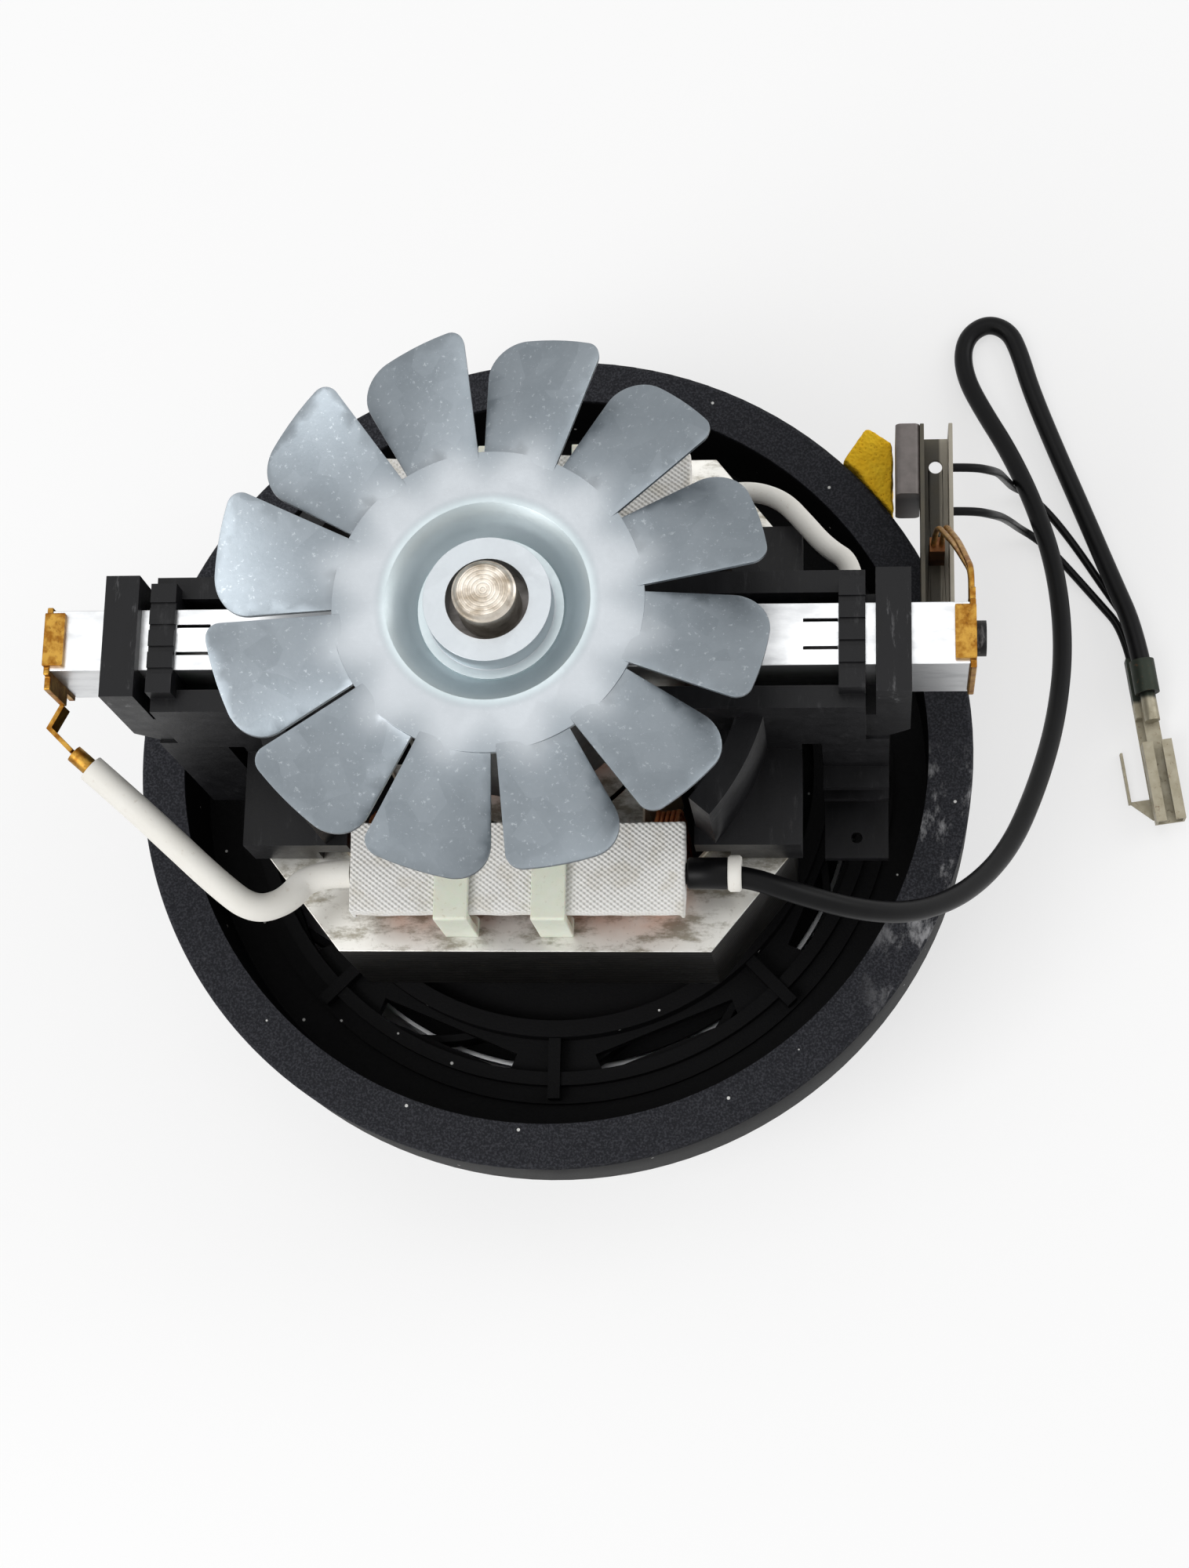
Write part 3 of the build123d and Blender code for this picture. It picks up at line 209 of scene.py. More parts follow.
# Finishes. Sizes are in millimetres, a pattern is (size, detail, roughness, stretch),
# a step or an edge is (from, to), and a relief is (depth, strength)

zincLook = {
    "spangle": 3.6,
    "cloud": (9,),
    "grain": (0.45, 4),
    "spangleTone": 0.12,
    "cloudTone": 0.34,
    "grainTone": 0.1,
    "dark": (0.15, 0.175, 0.195),
    "light": (0.44, 0.48, 0.515),
    "speck": (0.7, 5, 0.75),
    "speckStep": (0.58, 0.68),
    "speckShare": 0.5,
    "fleck": (0.5, 0.54, 0.57),
    "petals": 12.0,
    "turn": 1.2,
    "scallop": 1.5,
    "wander": 5,
    # the next four entries paint a highlight on the flat disc
    "highlightEdge": (17.0, 25.5),
    "disc": (0.47, 0.495, 0.52),
    "highlightBase": 0.7,
    "highlightCloud": 0.3,
    "dishEdge": (12.9, 14.4),
    "dishDark": (0.4, 0.46, 0.48),
    "dishLight": (0.56, 0.62, 0.64),
    "hubEdge": (8.0, 8.3),
    "rough": 0.34,
    "grainRough": 0.12,
    "spangleRough": 0.06,
    "grainRelief": 0.6,
    "relief": (0.03, 0.6),
}


def galvanised():
    r = Recipe("galvanised", Metallic=1.0)
    look = zincLook
    spangle = r.grey(r.cells(look["spangle"], "Color"))
    cloud = r.noise(*look["cloud"])
    grain = r.noise(*look["grain"])
    tone = spangle * look["spangleTone"] + cloud * look["cloudTone"] + grain * look["grainTone"]
    speck = r.noise(*look["speck"]).between(*look["speckStep"])
    petal = r.mix(tone, look["dark"], look["light"])
    petal = r.mix(speck * look["speckShare"], petal, look["fleck"])
    # painted highlight: the flat disc is painted a brighter zinc in a scalloped patch, in place
    # of the lamps' reflection on it
    wave = (r.angle() * look["petals"] + look["turn"]).sine() * (look["scallop"] * mm)
    edge = r.radius() + wave + cloud * (look["wander"] * mm)
    bright = 1 - edge.across(look["highlightEdge"])
    dish = 1 - r.radius().across(look["dishEdge"])
    hub = 1 - r.radius().across(look["hubEdge"])
    bright = bright * (1 - dish * (1 - hub))
    petal = r.mix(dish, petal, r.mix(cloud, look["dishDark"], look["dishLight"]))
    # how strongly the painted highlight covers the disc
    share = bright * (look["highlightBase"] + cloud * look["highlightCloud"])
    r.colour(r.mix(share, petal, look["disc"]))
    r.rough(look["rough"] + grain * look["grainRough"] + spangle * look["spangleRough"])
    r.bump(grain * look["grainRelief"] + cloud, *look["relief"])
    return r.material


shaftLook = {
    "rings": 0.55,
    "stain": (1.8, 4),
    "stainStep": (0.35, 0.75),
    "light": (0.62, 0.57, 0.5),
    "dark": (0.3, 0.25, 0.19),
    "rough": 0.24,
    "ringRough": 0.05,
    "stainRough": 0.12,
    "relief": (0.02, 0.7),
}


def turnedSteel():
    r = Recipe("turnedSteel", Metallic=1.0)
    look = shaftLook
    rings = r.radius().waves(look["rings"])
    stain = r.noise(*look["stain"])
    r.colour(r.mix(stain.between(*look["stainStep"]), look["light"], look["dark"]))
    r.rough(look["rough"] + rings * look["ringRough"] + stain * look["stainRough"])
    r.bump(rings + stain, *look["relief"])
    return r.material


steelLook = {
    "smear": (2.4, 5, 0.6, (0.35, 1, 1)),
    "smearStep": (0.4, 0.72),
    "grain": (0.3, 3),
    "smearRough": 0.14,
    "grainRough": 0.05,
    "relief": (0.012, 0.6),
}
steels = {
    "tubeSteel": {"light": (0.76, 0.77, 0.78), "dark": (0.58, 0.59, 0.6), "rough": 0.24},
    "screwSteel": {"light": (0.6, 0.58, 0.54), "dark": (0.34, 0.32, 0.29), "rough": 0.3},
    "raceSteel": {"light": (0.66, 0.66, 0.67), "dark": (0.48, 0.48, 0.48), "rough": 0.16},
    "springSteel": {"light": (0.16, 0.15, 0.145), "dark": (0.08, 0.075, 0.07), "rough": 0.34},
    "postFinish": {"light": (0.16, 0.07, 0.03), "dark": (0.05, 0.02, 0.015), "rough": 0.4},
}


def plainSteel(name):
    r = Recipe(name, Metallic=1.0)
    look = steelLook
    tint = steels[name]
    smear = r.noise(*look["smear"])
    grain = r.noise(*look["grain"])
    r.colour(r.mix(smear.between(*look["smearStep"]), tint["light"], tint["dark"]))
    r.rough(tint["rough"] + smear * look["smearRough"] + grain * look["grainRough"])
    r.bump(grain, *look["relief"])
    return r.material


ballLook = {
    "haze": (1.2, 3),
    "dark": (0.55, 0.55, 0.56),
    "light": (0.7, 0.7, 0.71),
    "rough": 0.1,
    "hazeRough": 0.08,
}


def ballSteel():
    r = Recipe("ballSteel", Metallic=1.0)
    look = ballLook
    haze = r.noise(*look["haze"])
    r.colour(r.mix(haze, look["dark"], look["light"]))
    r.rough(look["rough"] + haze * look["hazeRough"])
    return r.material


aluminiumLook = {
    "rolled": (0.4, 4, 0.6, (0.06, 1, 1)),
    "haze": (8, 4),
    "dark": (0.6, 0.61, 0.62),
    "light": (0.78, 0.79, 0.8),
    "rough": 0.28,
    "rolledRough": 0.16,
    "relief": (0.015, 0.5),
}


def aluminiumSheet():
    r = Recipe("aluminiumSheet", Metallic=1.0)
    look = aluminiumLook
    rolled = r.noise(*look["rolled"])
    haze = r.noise(*look["haze"])
    r.colour(r.mix(haze, look["dark"], look["light"]))
    r.rough(look["rough"] + rolled * look["rolledRough"])
    r.bump(rolled, *look["relief"])
    return r.material


coverLook = {
    "drawn": (0.35, 4, 0.6, (1, 1, 0.08)),
    "haze": (12, 4),
    "dark": (0.48, 0.49, 0.5),
    "light": (0.66, 0.67, 0.68),
    "rub": (1.1, 6, 0.7),
    "rubStep": (0.62, 0.7),
    "rubShare": 0.6,
    "rubbed": (0.3, 0.29, 0.27),
    "rough": 0.3,
    "drawnRough": 0.14,
    "hazeRough": 0.08,
    "relief": (0.02, 0.6),
}


def coverSteel():
    r = Recipe("coverSteel", Metallic=1.0)
    look = coverLook
    drawn = r.noise(*look["drawn"])
    haze = r.noise(*look["haze"])
    rub = r.noise(*look["rub"]).between(*look["rubStep"])
    tone = r.mix(haze, look["dark"], look["light"])
    r.colour(r.mix(rub * look["rubShare"], tone, look["rubbed"]))
    r.rough(look["rough"] + drawn * look["drawnRough"] + haze * look["hazeRough"])
    r.bump(drawn, *look["relief"])
    return r.material


bowlLook = {
    "pores": (0.32, 5, 0.65),
    "poreStep": (0.42, 0.66),
    "haze": (7, 4),
    "deepDark": (0.002, 0.002, 0.0022),
    "deepLight": (0.0045, 0.0045, 0.005),
    "rimEdge": (36.9, 37.9),
    # rim tones: the rim's top is painted lighter, a painted highlight
    "rimSheenDark": (0.012, 0.0125, 0.0155),
    "rimSheenLight": (0.042, 0.043, 0.05),
    "scuff": (1.6, 6, 0.7, (1, 1, 0.4)),
    "scuffStep": (0.6, 0.74),
    "scuffShare": 0.35,
    "scuffed": (0.09, 0.09, 0.095),
    "rubbedSheenX": (44, 56),
    "rubbedSheenY": (-6, 2),
    "streak": (2.2, 6, 0.72, (0.5, 0.25, 1)),
    "streakStep": (0.5, 0.66),
    "sheenStreakShare": 0.7,
    "rubbed": (0.42, 0.42, 0.43),
    "dust": 5.5,
    "dustStep": (0.035, 0.05),
    "dustShare": 0.9,
    "dusty": (0.7, 0.7, 0.68),
    "rough": 0.46,
    "poreRough": 0.2,
    "hazeRough": 0.1,
    "rubbedRough": 0.2,
    "relief": (0.08, 0.6),
}


def bowlPlastic():
    r = Recipe("bowlPlastic", Specular_IOR_Level=0.1)
    look = bowlLook
    pores = r.noise(*look["pores"])
    haze = r.noise(*look["haze"])
    scuff = r.noise(*look["scuff"]).between(*look["scuffStep"])
    dust = 1 - r.cells(look["dust"]).between(*look["dustStep"])
    # painted highlight: the rim's top face is speckled and painted lighter overall than the
    # rest of the bowl, in place of the reflection its low specular gives up
    rim = r.z.across(look["rimEdge"])
    deep = r.mix(haze, look["deepDark"], look["deepLight"])
    edge = r.mix(pores.between(*look["poreStep"]), look["rimSheenDark"], look["rimSheenLight"])
    tone = r.mix(rim, deep, edge)
    # painted highlight: the rim beside the right brush gets light streaks standing in for its
    # glossy reflection; it is also made less rough there
    rubbed = r.x.across(look["rubbedSheenX"]) * (1 - r.y.across(look["rubbedSheenY"]))
    streak = r.noise(*look["streak"]).between(*look["streakStep"])
    tone = r.mix(scuff * rim * look["scuffShare"], tone, look["scuffed"])
    # painted highlight streaks on the rim's top beside the right brush
    tone = r.mix(rubbed * rim * streak * look["sheenStreakShare"], tone, look["rubbed"])
    r.colour(r.mix(dust * look["dustShare"], tone, look["dusty"]))
    matt = look["rough"] + pores * look["poreRough"] + haze * look["hazeRough"]
    r.rough(matt - rubbed * rim * look["rubbedRough"])
    r.bump(pores, *look["relief"])
    return r.material


bracketLook = {
    "pores": (0.25, 4, 0.6),
    "ripple": (2.6, 3, 0.5, (1, 0.35, 1)),
    "dark": (0.003, 0.003, 0.0034),
    "light": (0.009, 0.009, 0.0105),
    # the entries from streak to worn paint light highlight streaks on the plastic, strongest on
    # the outer tops
    "streak": (1.5, 6, 0.72, (1, 0.22, 0.6)),
    "streakStep": (0.55, 0.76),
    "sheenStreakShare": 0.12,
    "outerEdge": (44, 50),
    "topEdge": (90, 92),
    "topSheenShare": 0.7,
    "worn": (0.2, 0.2, 0.205),
    "rough": 0.26,
    "poreRough": 0.14,
    "rippleRough": 0.2,
    "streakRough": 0.06,
    "rippleRelief": 1.2,
    "poreRelief": 0.3,
    "relief": (0.1, 0.55),
}


def bracketPlastic():
    r = Recipe("bracketPlastic", Specular_IOR_Level=0.22)
    look = bracketLook
    pores = r.noise(*look["pores"])
    ripple = r.noise(*look["ripple"])
    streak = r.noise(*look["streak"]).between(*look["streakStep"])
    outer = ((r.x * r.x) ** 0.5).across(look["outerEdge"])
    top = r.z.across(look["topEdge"])
    tone = r.mix(ripple, look["dark"], look["light"])
    # painted highlight: light streaks over the black plastic, strongest on the outer tops,
    # stand in for its glossy reflections
    worn = streak * (look["sheenStreakShare"] + outer * top * look["topSheenShare"])
    r.colour(r.mix(worn, tone, look["worn"]))
    matt = look["rough"] + pores * look["poreRough"] + ripple * look["rippleRough"]
    r.rough(matt - streak * look["streakRough"])
    r.bump(ripple * look["rippleRelief"] + pores * look["poreRelief"], *look["relief"])
    return r.material


smoothLook = {
    "haze": (3, 4),
    "pores": (0.22, 3),
    "poreRough": 0.12,
    "relief": (0.02, 0.5),
}
plastics = {
    "hubPlastic": {"light": (0.05, 0.03, 0.02), "dark": (0.025, 0.016, 0.012), "rough": 0.4},
    "linerFilm": {"light": (0.7, 0.66, 0.55), "dark": (0.58, 0.53, 0.42), "rough": 0.4},
}


def smoothPlastic(name):
    r = Recipe(name)
    look = smoothLook
    tint = plastics[name]
    haze = r.noise(*look["haze"])
    pores = r.noise(*look["pores"])
    r.colour(r.mix(haze, tint["dark"], tint["light"]))
    r.rough(tint["rough"] + pores * look["poreRough"])
    r.bump(pores, *look["relief"])
    return r.material


nylonLook = {
    "haze": (2, 4),
    "dark": (0.72, 0.76, 0.62),
    "light": (0.84, 0.86, 0.76),
    "soil": (0.7, 5, 0.7),
    "soilStep": (0.58, 0.72),
    "soilShare": 0.35,
    "soiled": (0.42, 0.36, 0.2),
    "rough": 0.34,
    "hazeRough": 0.12,
    "relief": (0.05, 0.4),
}


def nylon():
    r = Recipe("nylon", Subsurface_Weight=0.25, Subsurface_Scale=0.002)
    look = nylonLook
    haze = r.noise(*look["haze"])
    soil = r.noise(*look["soil"]).between(*look["soilStep"])
    tone = r.mix(haze, look["dark"], look["light"])
    r.colour(r.mix(soil * look["soilShare"], tone, look["soiled"]))
    r.rough(look["rough"] + haze * look["hazeRough"])
    r.bump(haze, *look["relief"])
    return r.material


stackLook = {
    "sheet": 0.9,
    "sheetStep": (-0.6, 0.8),
    "gapTone": (0.012, 0.012, 0.012),
    "sheetTone": (0.05, 0.048, 0.045),
    "topEdge": (63.6, 63.9),
    "streaks": (4.0, 6, 0.7, (0.45, 1, 1)),
    "streakStep": (0.46, 0.62),
    "capLight": (0.7, 0.69, 0.65),
    "capDark": (0.3, 0.28, 0.23),
    "spots": (0.9, 5, 0.7),
    "spotStep": (0.56, 0.7),
    "spotShare": 0.3,
    "spotTone": (0.12, 0.09, 0.05),
    "smear": (3.2, 6, 0.65),
    "rough": 0.24,
    "smearRough": 0.3,
    "smearRelief": 0.8,
    "relief": (0.06, 0.6),
}


def lamination():
    r = Recipe("lamination", Metallic=0.9)
    look = stackLook
    sheets = r.z.waves(look["sheet"])
    smear = r.noise(*look["smear"])
    spots = r.noise(*look["spots"]).between(*look["spotStep"])
    top = r.z.across(look["topEdge"])
    streaks = r.noise(*look["streaks"])
    side = r.mix(sheets.between(*look["sheetStep"]), look["gapTone"], look["sheetTone"])
    cap = r.mix(streaks.between(*look["streakStep"]), look["capLight"], look["capDark"])
    tone = r.mix(top, side, cap)
    r.colour(r.mix(spots * look["spotShare"], tone, look["spotTone"]))
    r.rough(look["rough"] + smear * look["smearRough"])
    r.bump(sheets * (1 - top) + smear * look["smearRelief"], *look["relief"])
    return r.material


enamelLook = {
    "along": (2.2, 5, 0.6),
    "alongStep": (0.56, 0.7),
    "alongShare": 0.5,
    "leftEdge": (-7.5, -6.0),
    "rightEdge": (2.0, 3.5),
    "runShare": 0.75,
    "light": (0.8, 0.27, 0.08),
    "dark": (0.15, 0.016, 0.012),
    "rough": 0.28,
    "alongRough": 0.15,
}


def copperWire():
    r = Recipe("copperWire", Metallic=0.6, Coat_Weight=0.4, Coat_Roughness=0.12)
    look = enamelLook
    along = r.noise(*look["along"])
    # varnish ran dark red between the two clips
    run = r.x.across(look["leftEdge"]) * (1 - r.x.across(look["rightEdge"]))
    dark = run * look["runShare"] + along.between(*look["alongStep"]) * look["alongShare"]
    r.colour(r.mix(dark.between(0.0, 1.0), look["light"], look["dark"]))
    r.rough(look["rough"] + along * look["alongRough"])
    return r.material


windingLook = {
    "along": (1.6, 5, 0.6),
    "dark": (0.42, 0.13, 0.05),
    "light": (0.62, 0.24, 0.1),
    "rough": 0.3,
    "alongRough": 0.15,
}


def armatureWire():
    r = Recipe("armatureWire", Metallic=0.7, Coat_Weight=0.5, Coat_Roughness=0.15)
    look = windingLook
    along = r.noise(*look["along"])
    r.colour(r.mix(along, look["dark"], look["light"]))
    r.rough(look["rough"] + along * look["alongRough"])
    return r.material


barLook = {
    "worn": 0.35,
    "film": (2.5, 4),
    "bright": (0.55, 0.27, 0.15),
    "filmed": (0.28, 0.13, 0.08),
    "rough": 0.26,
    "wornRough": 0.05,
    "relief": (0.01, 0.6),
}


def commutatorCopper():
    r = Recipe("commutatorCopper", Metallic=1.0)
    look = barLook
    worn = r.z.waves(look["worn"])
    film = r.noise(*look["film"])
    r.colour(r.mix(film, look["bright"], look["filmed"]))
    r.rough(look["rough"] + worn * look["wornRough"])
    r.bump(worn, *look["relief"])
    return r.material


brassLook = {
    "smear": (1.5, 5, 0.6),
    "smearStep": (0.35, 0.65),
    "light": (0.46, 0.26, 0.05),
    "dark": (0.24, 0.095, 0.012),
    "dull": (0.5, 5, 0.7),
    "dullStep": (0.55, 0.72),
    "dullShare": 0.7,
    "tarnish": (0.1, 0.04, 0.012),
    "rough": 0.3,
    "smearRough": 0.25,
    "relief": (0.04, 0.4),
}


def brass():
    r = Recipe("brass", Metallic=1.0)
    look = brassLook
    smear = r.noise(*look["smear"])
    dull = r.noise(*look["dull"]).between(*look["dullStep"])
    tone = r.mix(smear.between(*look["smearStep"]), look["light"], look["dark"])
    r.colour(r.mix(dull * look["dullShare"], tone, look["tarnish"]))
    r.rough(look["rough"] + smear * look["smearRough"])
    r.bump(smear, *look["relief"])
    return r.material


receptacleLook = {
    "smear": (1.8, 5, 0.6),
    "light": (0.42, 0.39, 0.31),
    "dark": (0.24, 0.21, 0.14),
    "gripEdge": (16.6, 17.4),
    "grip": (0.035, 0.042, 0.033),
    "rust": (0.7, 5, 0.7),
    "rustStep": (0.58, 0.7),
    "rustShare": 0.6,
    "rusty": (0.13, 0.06, 0.025),
    "rough": 0.38,
    "smearRough": 0.3,
    "relief": (0.05, 0.4),
}


def terminalMetal():
    r = Recipe("terminalMetal", Metallic=0.9)
    look = receptacleLook
    smear = r.noise(*look["smear"])
    rust = r.noise(*look["rust"]).between(*look["rustStep"])
    tone = r.mix(smear, look["light"], look["dark"])
    tone = r.mix(r.y.across(look["gripEdge"]), tone, look["grip"])
    r.colour(r.mix(rust * look["rustShare"], tone, look["rusty"]))
    r.rough(look["rough"] + smear * look["smearRough"])
    r.bump(smear + rust, *look["relief"])
    return r.material


tapeLook = {
    "warp": 0.9,
    "weft": 0.7,
    "weaveStep": (-0.9, 0.1),
    "hollowShare": 0.3,
    "hollow": (0.46, 0.42, 0.35),
    "soil": (3.5, 5, 0.65),
    "soilStep": (0.3, 0.55),
    "soiled": (0.8, 0.77, 0.7),
    "clean": (0.93, 0.92, 0.89),
    "copper": (0.8, 6, 0.7),
    "copperStep": (0.62, 0.74),
    "copperShare": 0.45,
    "stained": (0.42, 0.22, 0.1),
    "rough": 0.72,
    "soilRough": 0.15,
    "relief": (0.12, 0.8),
}


def wovenTape():
    r = Recipe("wovenTape", Specular_IOR_Level=0.25)
    look = tapeLook
    pace = 2 * math.pi / (look["weft"] * mm)
    weave = r.x.waves(look["warp"]) * (r.y * pace + r.z * pace).sine()
    soil = r.noise(*look["soil"])
    copper = r.noise(*look["copper"]).between(*look["copperStep"])
    tone = r.mix(soil.between(*look["soilStep"]), look["soiled"], look["clean"])
    hollow = r.mix(look["hollowShare"], tone, look["hollow"])
    tone = r.mix(weave.between(*look["weaveStep"]), hollow, tone)
    r.colour(r.mix(copper * look["copperShare"], tone, look["stained"]))
    r.rough(look["rough"] + soil * look["soilRough"])
    r.bump(weave, *look["relief"])
    return r.material


sleeveLook = {
    "haze": (5, 4),
    "dark": (0.78, 0.755, 0.69),
    "light": (0.87, 0.855, 0.81),
    "soil": (1.1, 5, 0.7),
    "soilStep": (0.6, 0.75),
    "soilShare": 0.4,
    "soiled": (0.5, 0.41, 0.31),
    "braid": (0.3, 3),
    "rough": 0.5,
    "hazeRough": 0.15,
    "braidRelief": 0.2,
    "relief": (0.15, 0.5),
}


def whiteSleeve():
    r = Recipe("whiteSleeve", Specular_IOR_Level=0.35)
    look = sleeveLook
    haze = r.noise(*look["haze"])
    soil = r.noise(*look["soil"]).between(*look["soilStep"])
    braid = r.noise(*look["braid"])
    tone = r.mix(haze, look["dark"], look["light"])
    r.colour(r.mix(soil * look["soilShare"], tone, look["soiled"]))
    r.rough(look["rough"] + haze * look["hazeRough"])
    r.bump(haze + braid * look["braidRelief"], *look["relief"])
    return r.material


leadLook = {
    "haze": (3, 4),
    "nick": (0.5, 4),
    "dark": (0.0015, 0.0015, 0.0018),
    "light": (0.0045, 0.0045, 0.005),
    "rough": 0.3,
    "hazeRough": 0.12,
    "nickRough": 0.05,
    "relief": (0.08, 0.4),
}


def blackLead():
    r = Recipe("blackLead", Specular_IOR_Level=0.14)
    look = leadLook
    haze = r.noise(*look["haze"])
    nick = r.noise(*look["nick"])
    r.colour(r.mix(haze, look["dark"], look["light"]))
    r.rough(look["rough"] + haze * look["hazeRough"] + nick * look["nickRough"])
    r.bump(haze, *look["relief"])
    return r.material


foamLook = {
    "pores": 0.55,
    "poreStep": (0.0, 0.3),
    "poreTone": (0.6, 0.24, 0.0),
    "cloud": (2.6, 4),
    "dark": (0.93, 0.48, 0.008),
    "light": (0.98, 0.66, 0.04),
    "rough": 0.8,
    "cloudRough": 0.1,
    "relief": (0.3, 0.7),
}


def foam():
    r = Recipe("foam", Specular_IOR_Level=0.15)
    look = foamLook
    pores = r.cells(look["pores"])
    cloud = r.noise(*look["cloud"])
    tone = r.mix(cloud, look["dark"], look["light"])
    r.colour(r.mix(1 - pores.between(*look["poreStep"]), tone, look["poreTone"]))
    r.rough(look["rough"] + cloud * look["cloudRough"])
    r.bump(pores, *look["relief"])
    return r.material


caseLook = {
    "haze": (1.8, 4),
    "topEdge": (42.2, 44.2),
    "sideDark": (0.05, 0.04, 0.038),
    "sideLight": (0.1, 0.08, 0.075),
    "topDark": (0.09, 0.075, 0.068),
    "topLight": (0.26, 0.23, 0.22),
    "rough": 0.35,
    "hazeRough": 0.2,
    "relief": (0.04, 0.4),
}


def cutoutCase():
    r = Recipe("cutoutCase")
    look = caseLook
    haze = r.noise(*look["haze"])
    side = r.mix(haze, look["sideDark"], look["sideLight"])
    lid = r.mix(haze, look["topDark"], look["topLight"])
    r.colour(r.mix(r.z.across(look["topEdge"]), side, lid))
    r.rough(look["rough"] + haze * look["hazeRough"])
    r.bump(haze, *look["relief"])
    return r.material


trayLook = {
    "haze": (2.4, 5, 0.6),
    "outerEdge": (57.3, 57.7),
    # inner tones: painted shade inside the tray
    "innerShadeDark": (0.03, 0.026, 0.018),
    "innerShadeLight": (0.11, 0.095, 0.06),
    "outerDark": (0.34, 0.31, 0.24),
    "outerLight": (0.5, 0.46, 0.38),
    "rough": 0.4,
    "hazeRough": 0.2,
    "relief": (0.06, 0.5),
}


def trayMoulding():
    r = Recipe("trayMoulding")
    look = trayLook
    haze = r.noise(*look["haze"])
    # painted shade: the tray's inside, below x 57.5 mm, is painted dark, while the outer wall
    # keeps the moulding's lighter tone
    inner = r.mix(haze, look["innerShadeDark"], look["innerShadeLight"])
    outer = r.mix(haze, look["outerDark"], look["outerLight"])
    r.colour(r.mix(r.x.across(look["outerEdge"]), inner, outer))
    r.rough(look["rough"] + haze * look["hazeRough"])
    r.bump(haze, *look["relief"])
    return r.material


carbonLook = {
    "grain": (0.2, 4),
    "dark": (0.02, 0.02, 0.021),
    "light": (0.05, 0.05, 0.052),
    "rough": 0.38,
    "grainRough": 0.2,
    "relief": (0.03, 0.5),
}


def carbon():
    r = Recipe("carbon")
    look = carbonLook
    grain = r.noise(*look["grain"])
    r.colour(r.mix(grain, look["dark"], look["light"]))
    r.rough(look["rough"] + grain * look["grainRough"])
    r.bump(grain, *look["relief"])
    return r.material


zinc = galvanised()
shaftSteel = turnedSteel()
tubeSteel = plainSteel("tubeSteel")
screwSteel = plainSteel("screwSteel")
raceSteel = plainSteel("raceSteel")
springSteel = plainSteel("springSteel")
postFinish = plainSteel("postFinish")
bowl = bowlPlastic()
bracket = bracketPlastic()
hubPlastic = smoothPlastic("hubPlastic")
liner = smoothPlastic("linerFilm")
nylonClip = nylon()
laminations = lamination()
enamel = copperWire()
windingWire = armatureWire()
barCopper = commutatorCopper()
brassSheet = brass()
receptacleMetal = terminalMetal()
tape = wovenTape()
sleeve = whiteSleeve()
leadRubber = blackLead()
yellowFoam = foam()
caseFinish = cutoutCase()
trayFinish = trayMoulding()
brushCarbon = carbon()
aluminium = aluminiumSheet()
pressedCover = coverSteel()
ballFinish = ballSteel()
print("materials mixed")

nodeFinish = {
    "inlet_cover": pressedCover,
    "impeller_front_disc": aluminium,
    "impeller_blades": aluminium,
    "impeller_back_disc": aluminium,
    "impeller_washer": screwSteel,
    "impeller_nut": screwSteel,
    "impeller_spacer": screwSteel,
    "diffuser": bowl,
    "motor_housing": bowl,
    "housing_screws": screwSteel,
    "lower_outer_race": raceSteel,
    "lower_inner_race": raceSteel,
    "lower_balls": ballFinish,
    "upper_outer_race": raceSteel,
    "upper_inner_race": raceSteel,
    "upper_balls": ballFinish,
    "bearing_shields": raceSteel,
    "shaft": shaftSteel,
    "armature_core": laminations,
    "commutator": barCopper,
    "commutator_core": hubPlastic,
    "stator_core": laminations,
    "slot_liners": liner,
    "coil_retainers": nylonClip,
    "brush_bracket": bracket,
    "cap_plug": bracket,
    "cooling_fan": zinc,
    "fan_bush": springSteel,
    "cutout_tray": trayFinish,
    "cutout_rivet": screwSteel,
    "cutout_post": postFinish,
    "thermal_cutout": caseFinish,
    "cutout_wires": brassSheet,
    "left_brush_terminal": brassSheet,
    "long_terminal": receptacleMetal,
    "short_terminal": receptacleMetal,
    "left_brush_tube": tubeSteel,
    "right_brush_tube": tubeSteel,
    "left_brush": brushCarbon,
    "right_brush": brushCarbon,
    "left_brush_spring": springSteel,
    "right_brush_spring": springSteel,
    "left_brush_cap": brassSheet,
    "right_brush_cap": brassSheet,
}
edgeRounding = {
    "motor_housing": 0.25,
    "brush_bracket": 0.25,
    "inlet_cover": 0.15,
    "cooling_fan": 0.12,
    "stator_core": 0.1,
    "coil_retainers": 0.3,
    "left_brush_tube": 0.12,
    "right_brush_tube": 0.12,
    "left_brush_cap": 0.15,
    "right_brush_cap": 0.15,
    "cutout_tray": 0.12,
    "long_terminal": 0.08,
    "short_terminal": 0.08,
    "left_brush_terminal": 0.08,
    "diffuser": 0.12,
}
rounding = {"weld": 0.002, "segments": 2, "fromAngle": 32}


def dressNodes():
    for name, finish in nodeFinish.items():
        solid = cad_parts[name]
        solid.data.materials.clear()
        solid.data.materials.append(finish)
        if name in edgeRounding:
            roundEdges(solid, edgeRounding[name] * mm)


def roundEdges(solid, width):
    weld = solid.modifiers.new("weld", "WELD")
    weld.merge_threshold = rounding["weld"] * mm
    bevel = solid.modifiers.new("bevel", "BEVEL")
    bevel.width = width
    bevel.segments = rounding["segments"]
    bevel.limit_method = "ANGLE"
    bevel.angle_limit = math.radians(rounding["fromAngle"])
    bevel.use_clamp_overlap = True
    bevel.harden_normals = False


dressNodes()
print("carried nodes dressed")


# Making pieces


def place(name, data, finish, body="frame"):
    made = bpy.data.objects.new(name, data)
    bpy.context.scene.collection.objects.link(made)
    made.data.materials.clear()
    made.data.materials.append(finish)
    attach(made, body)
    return made


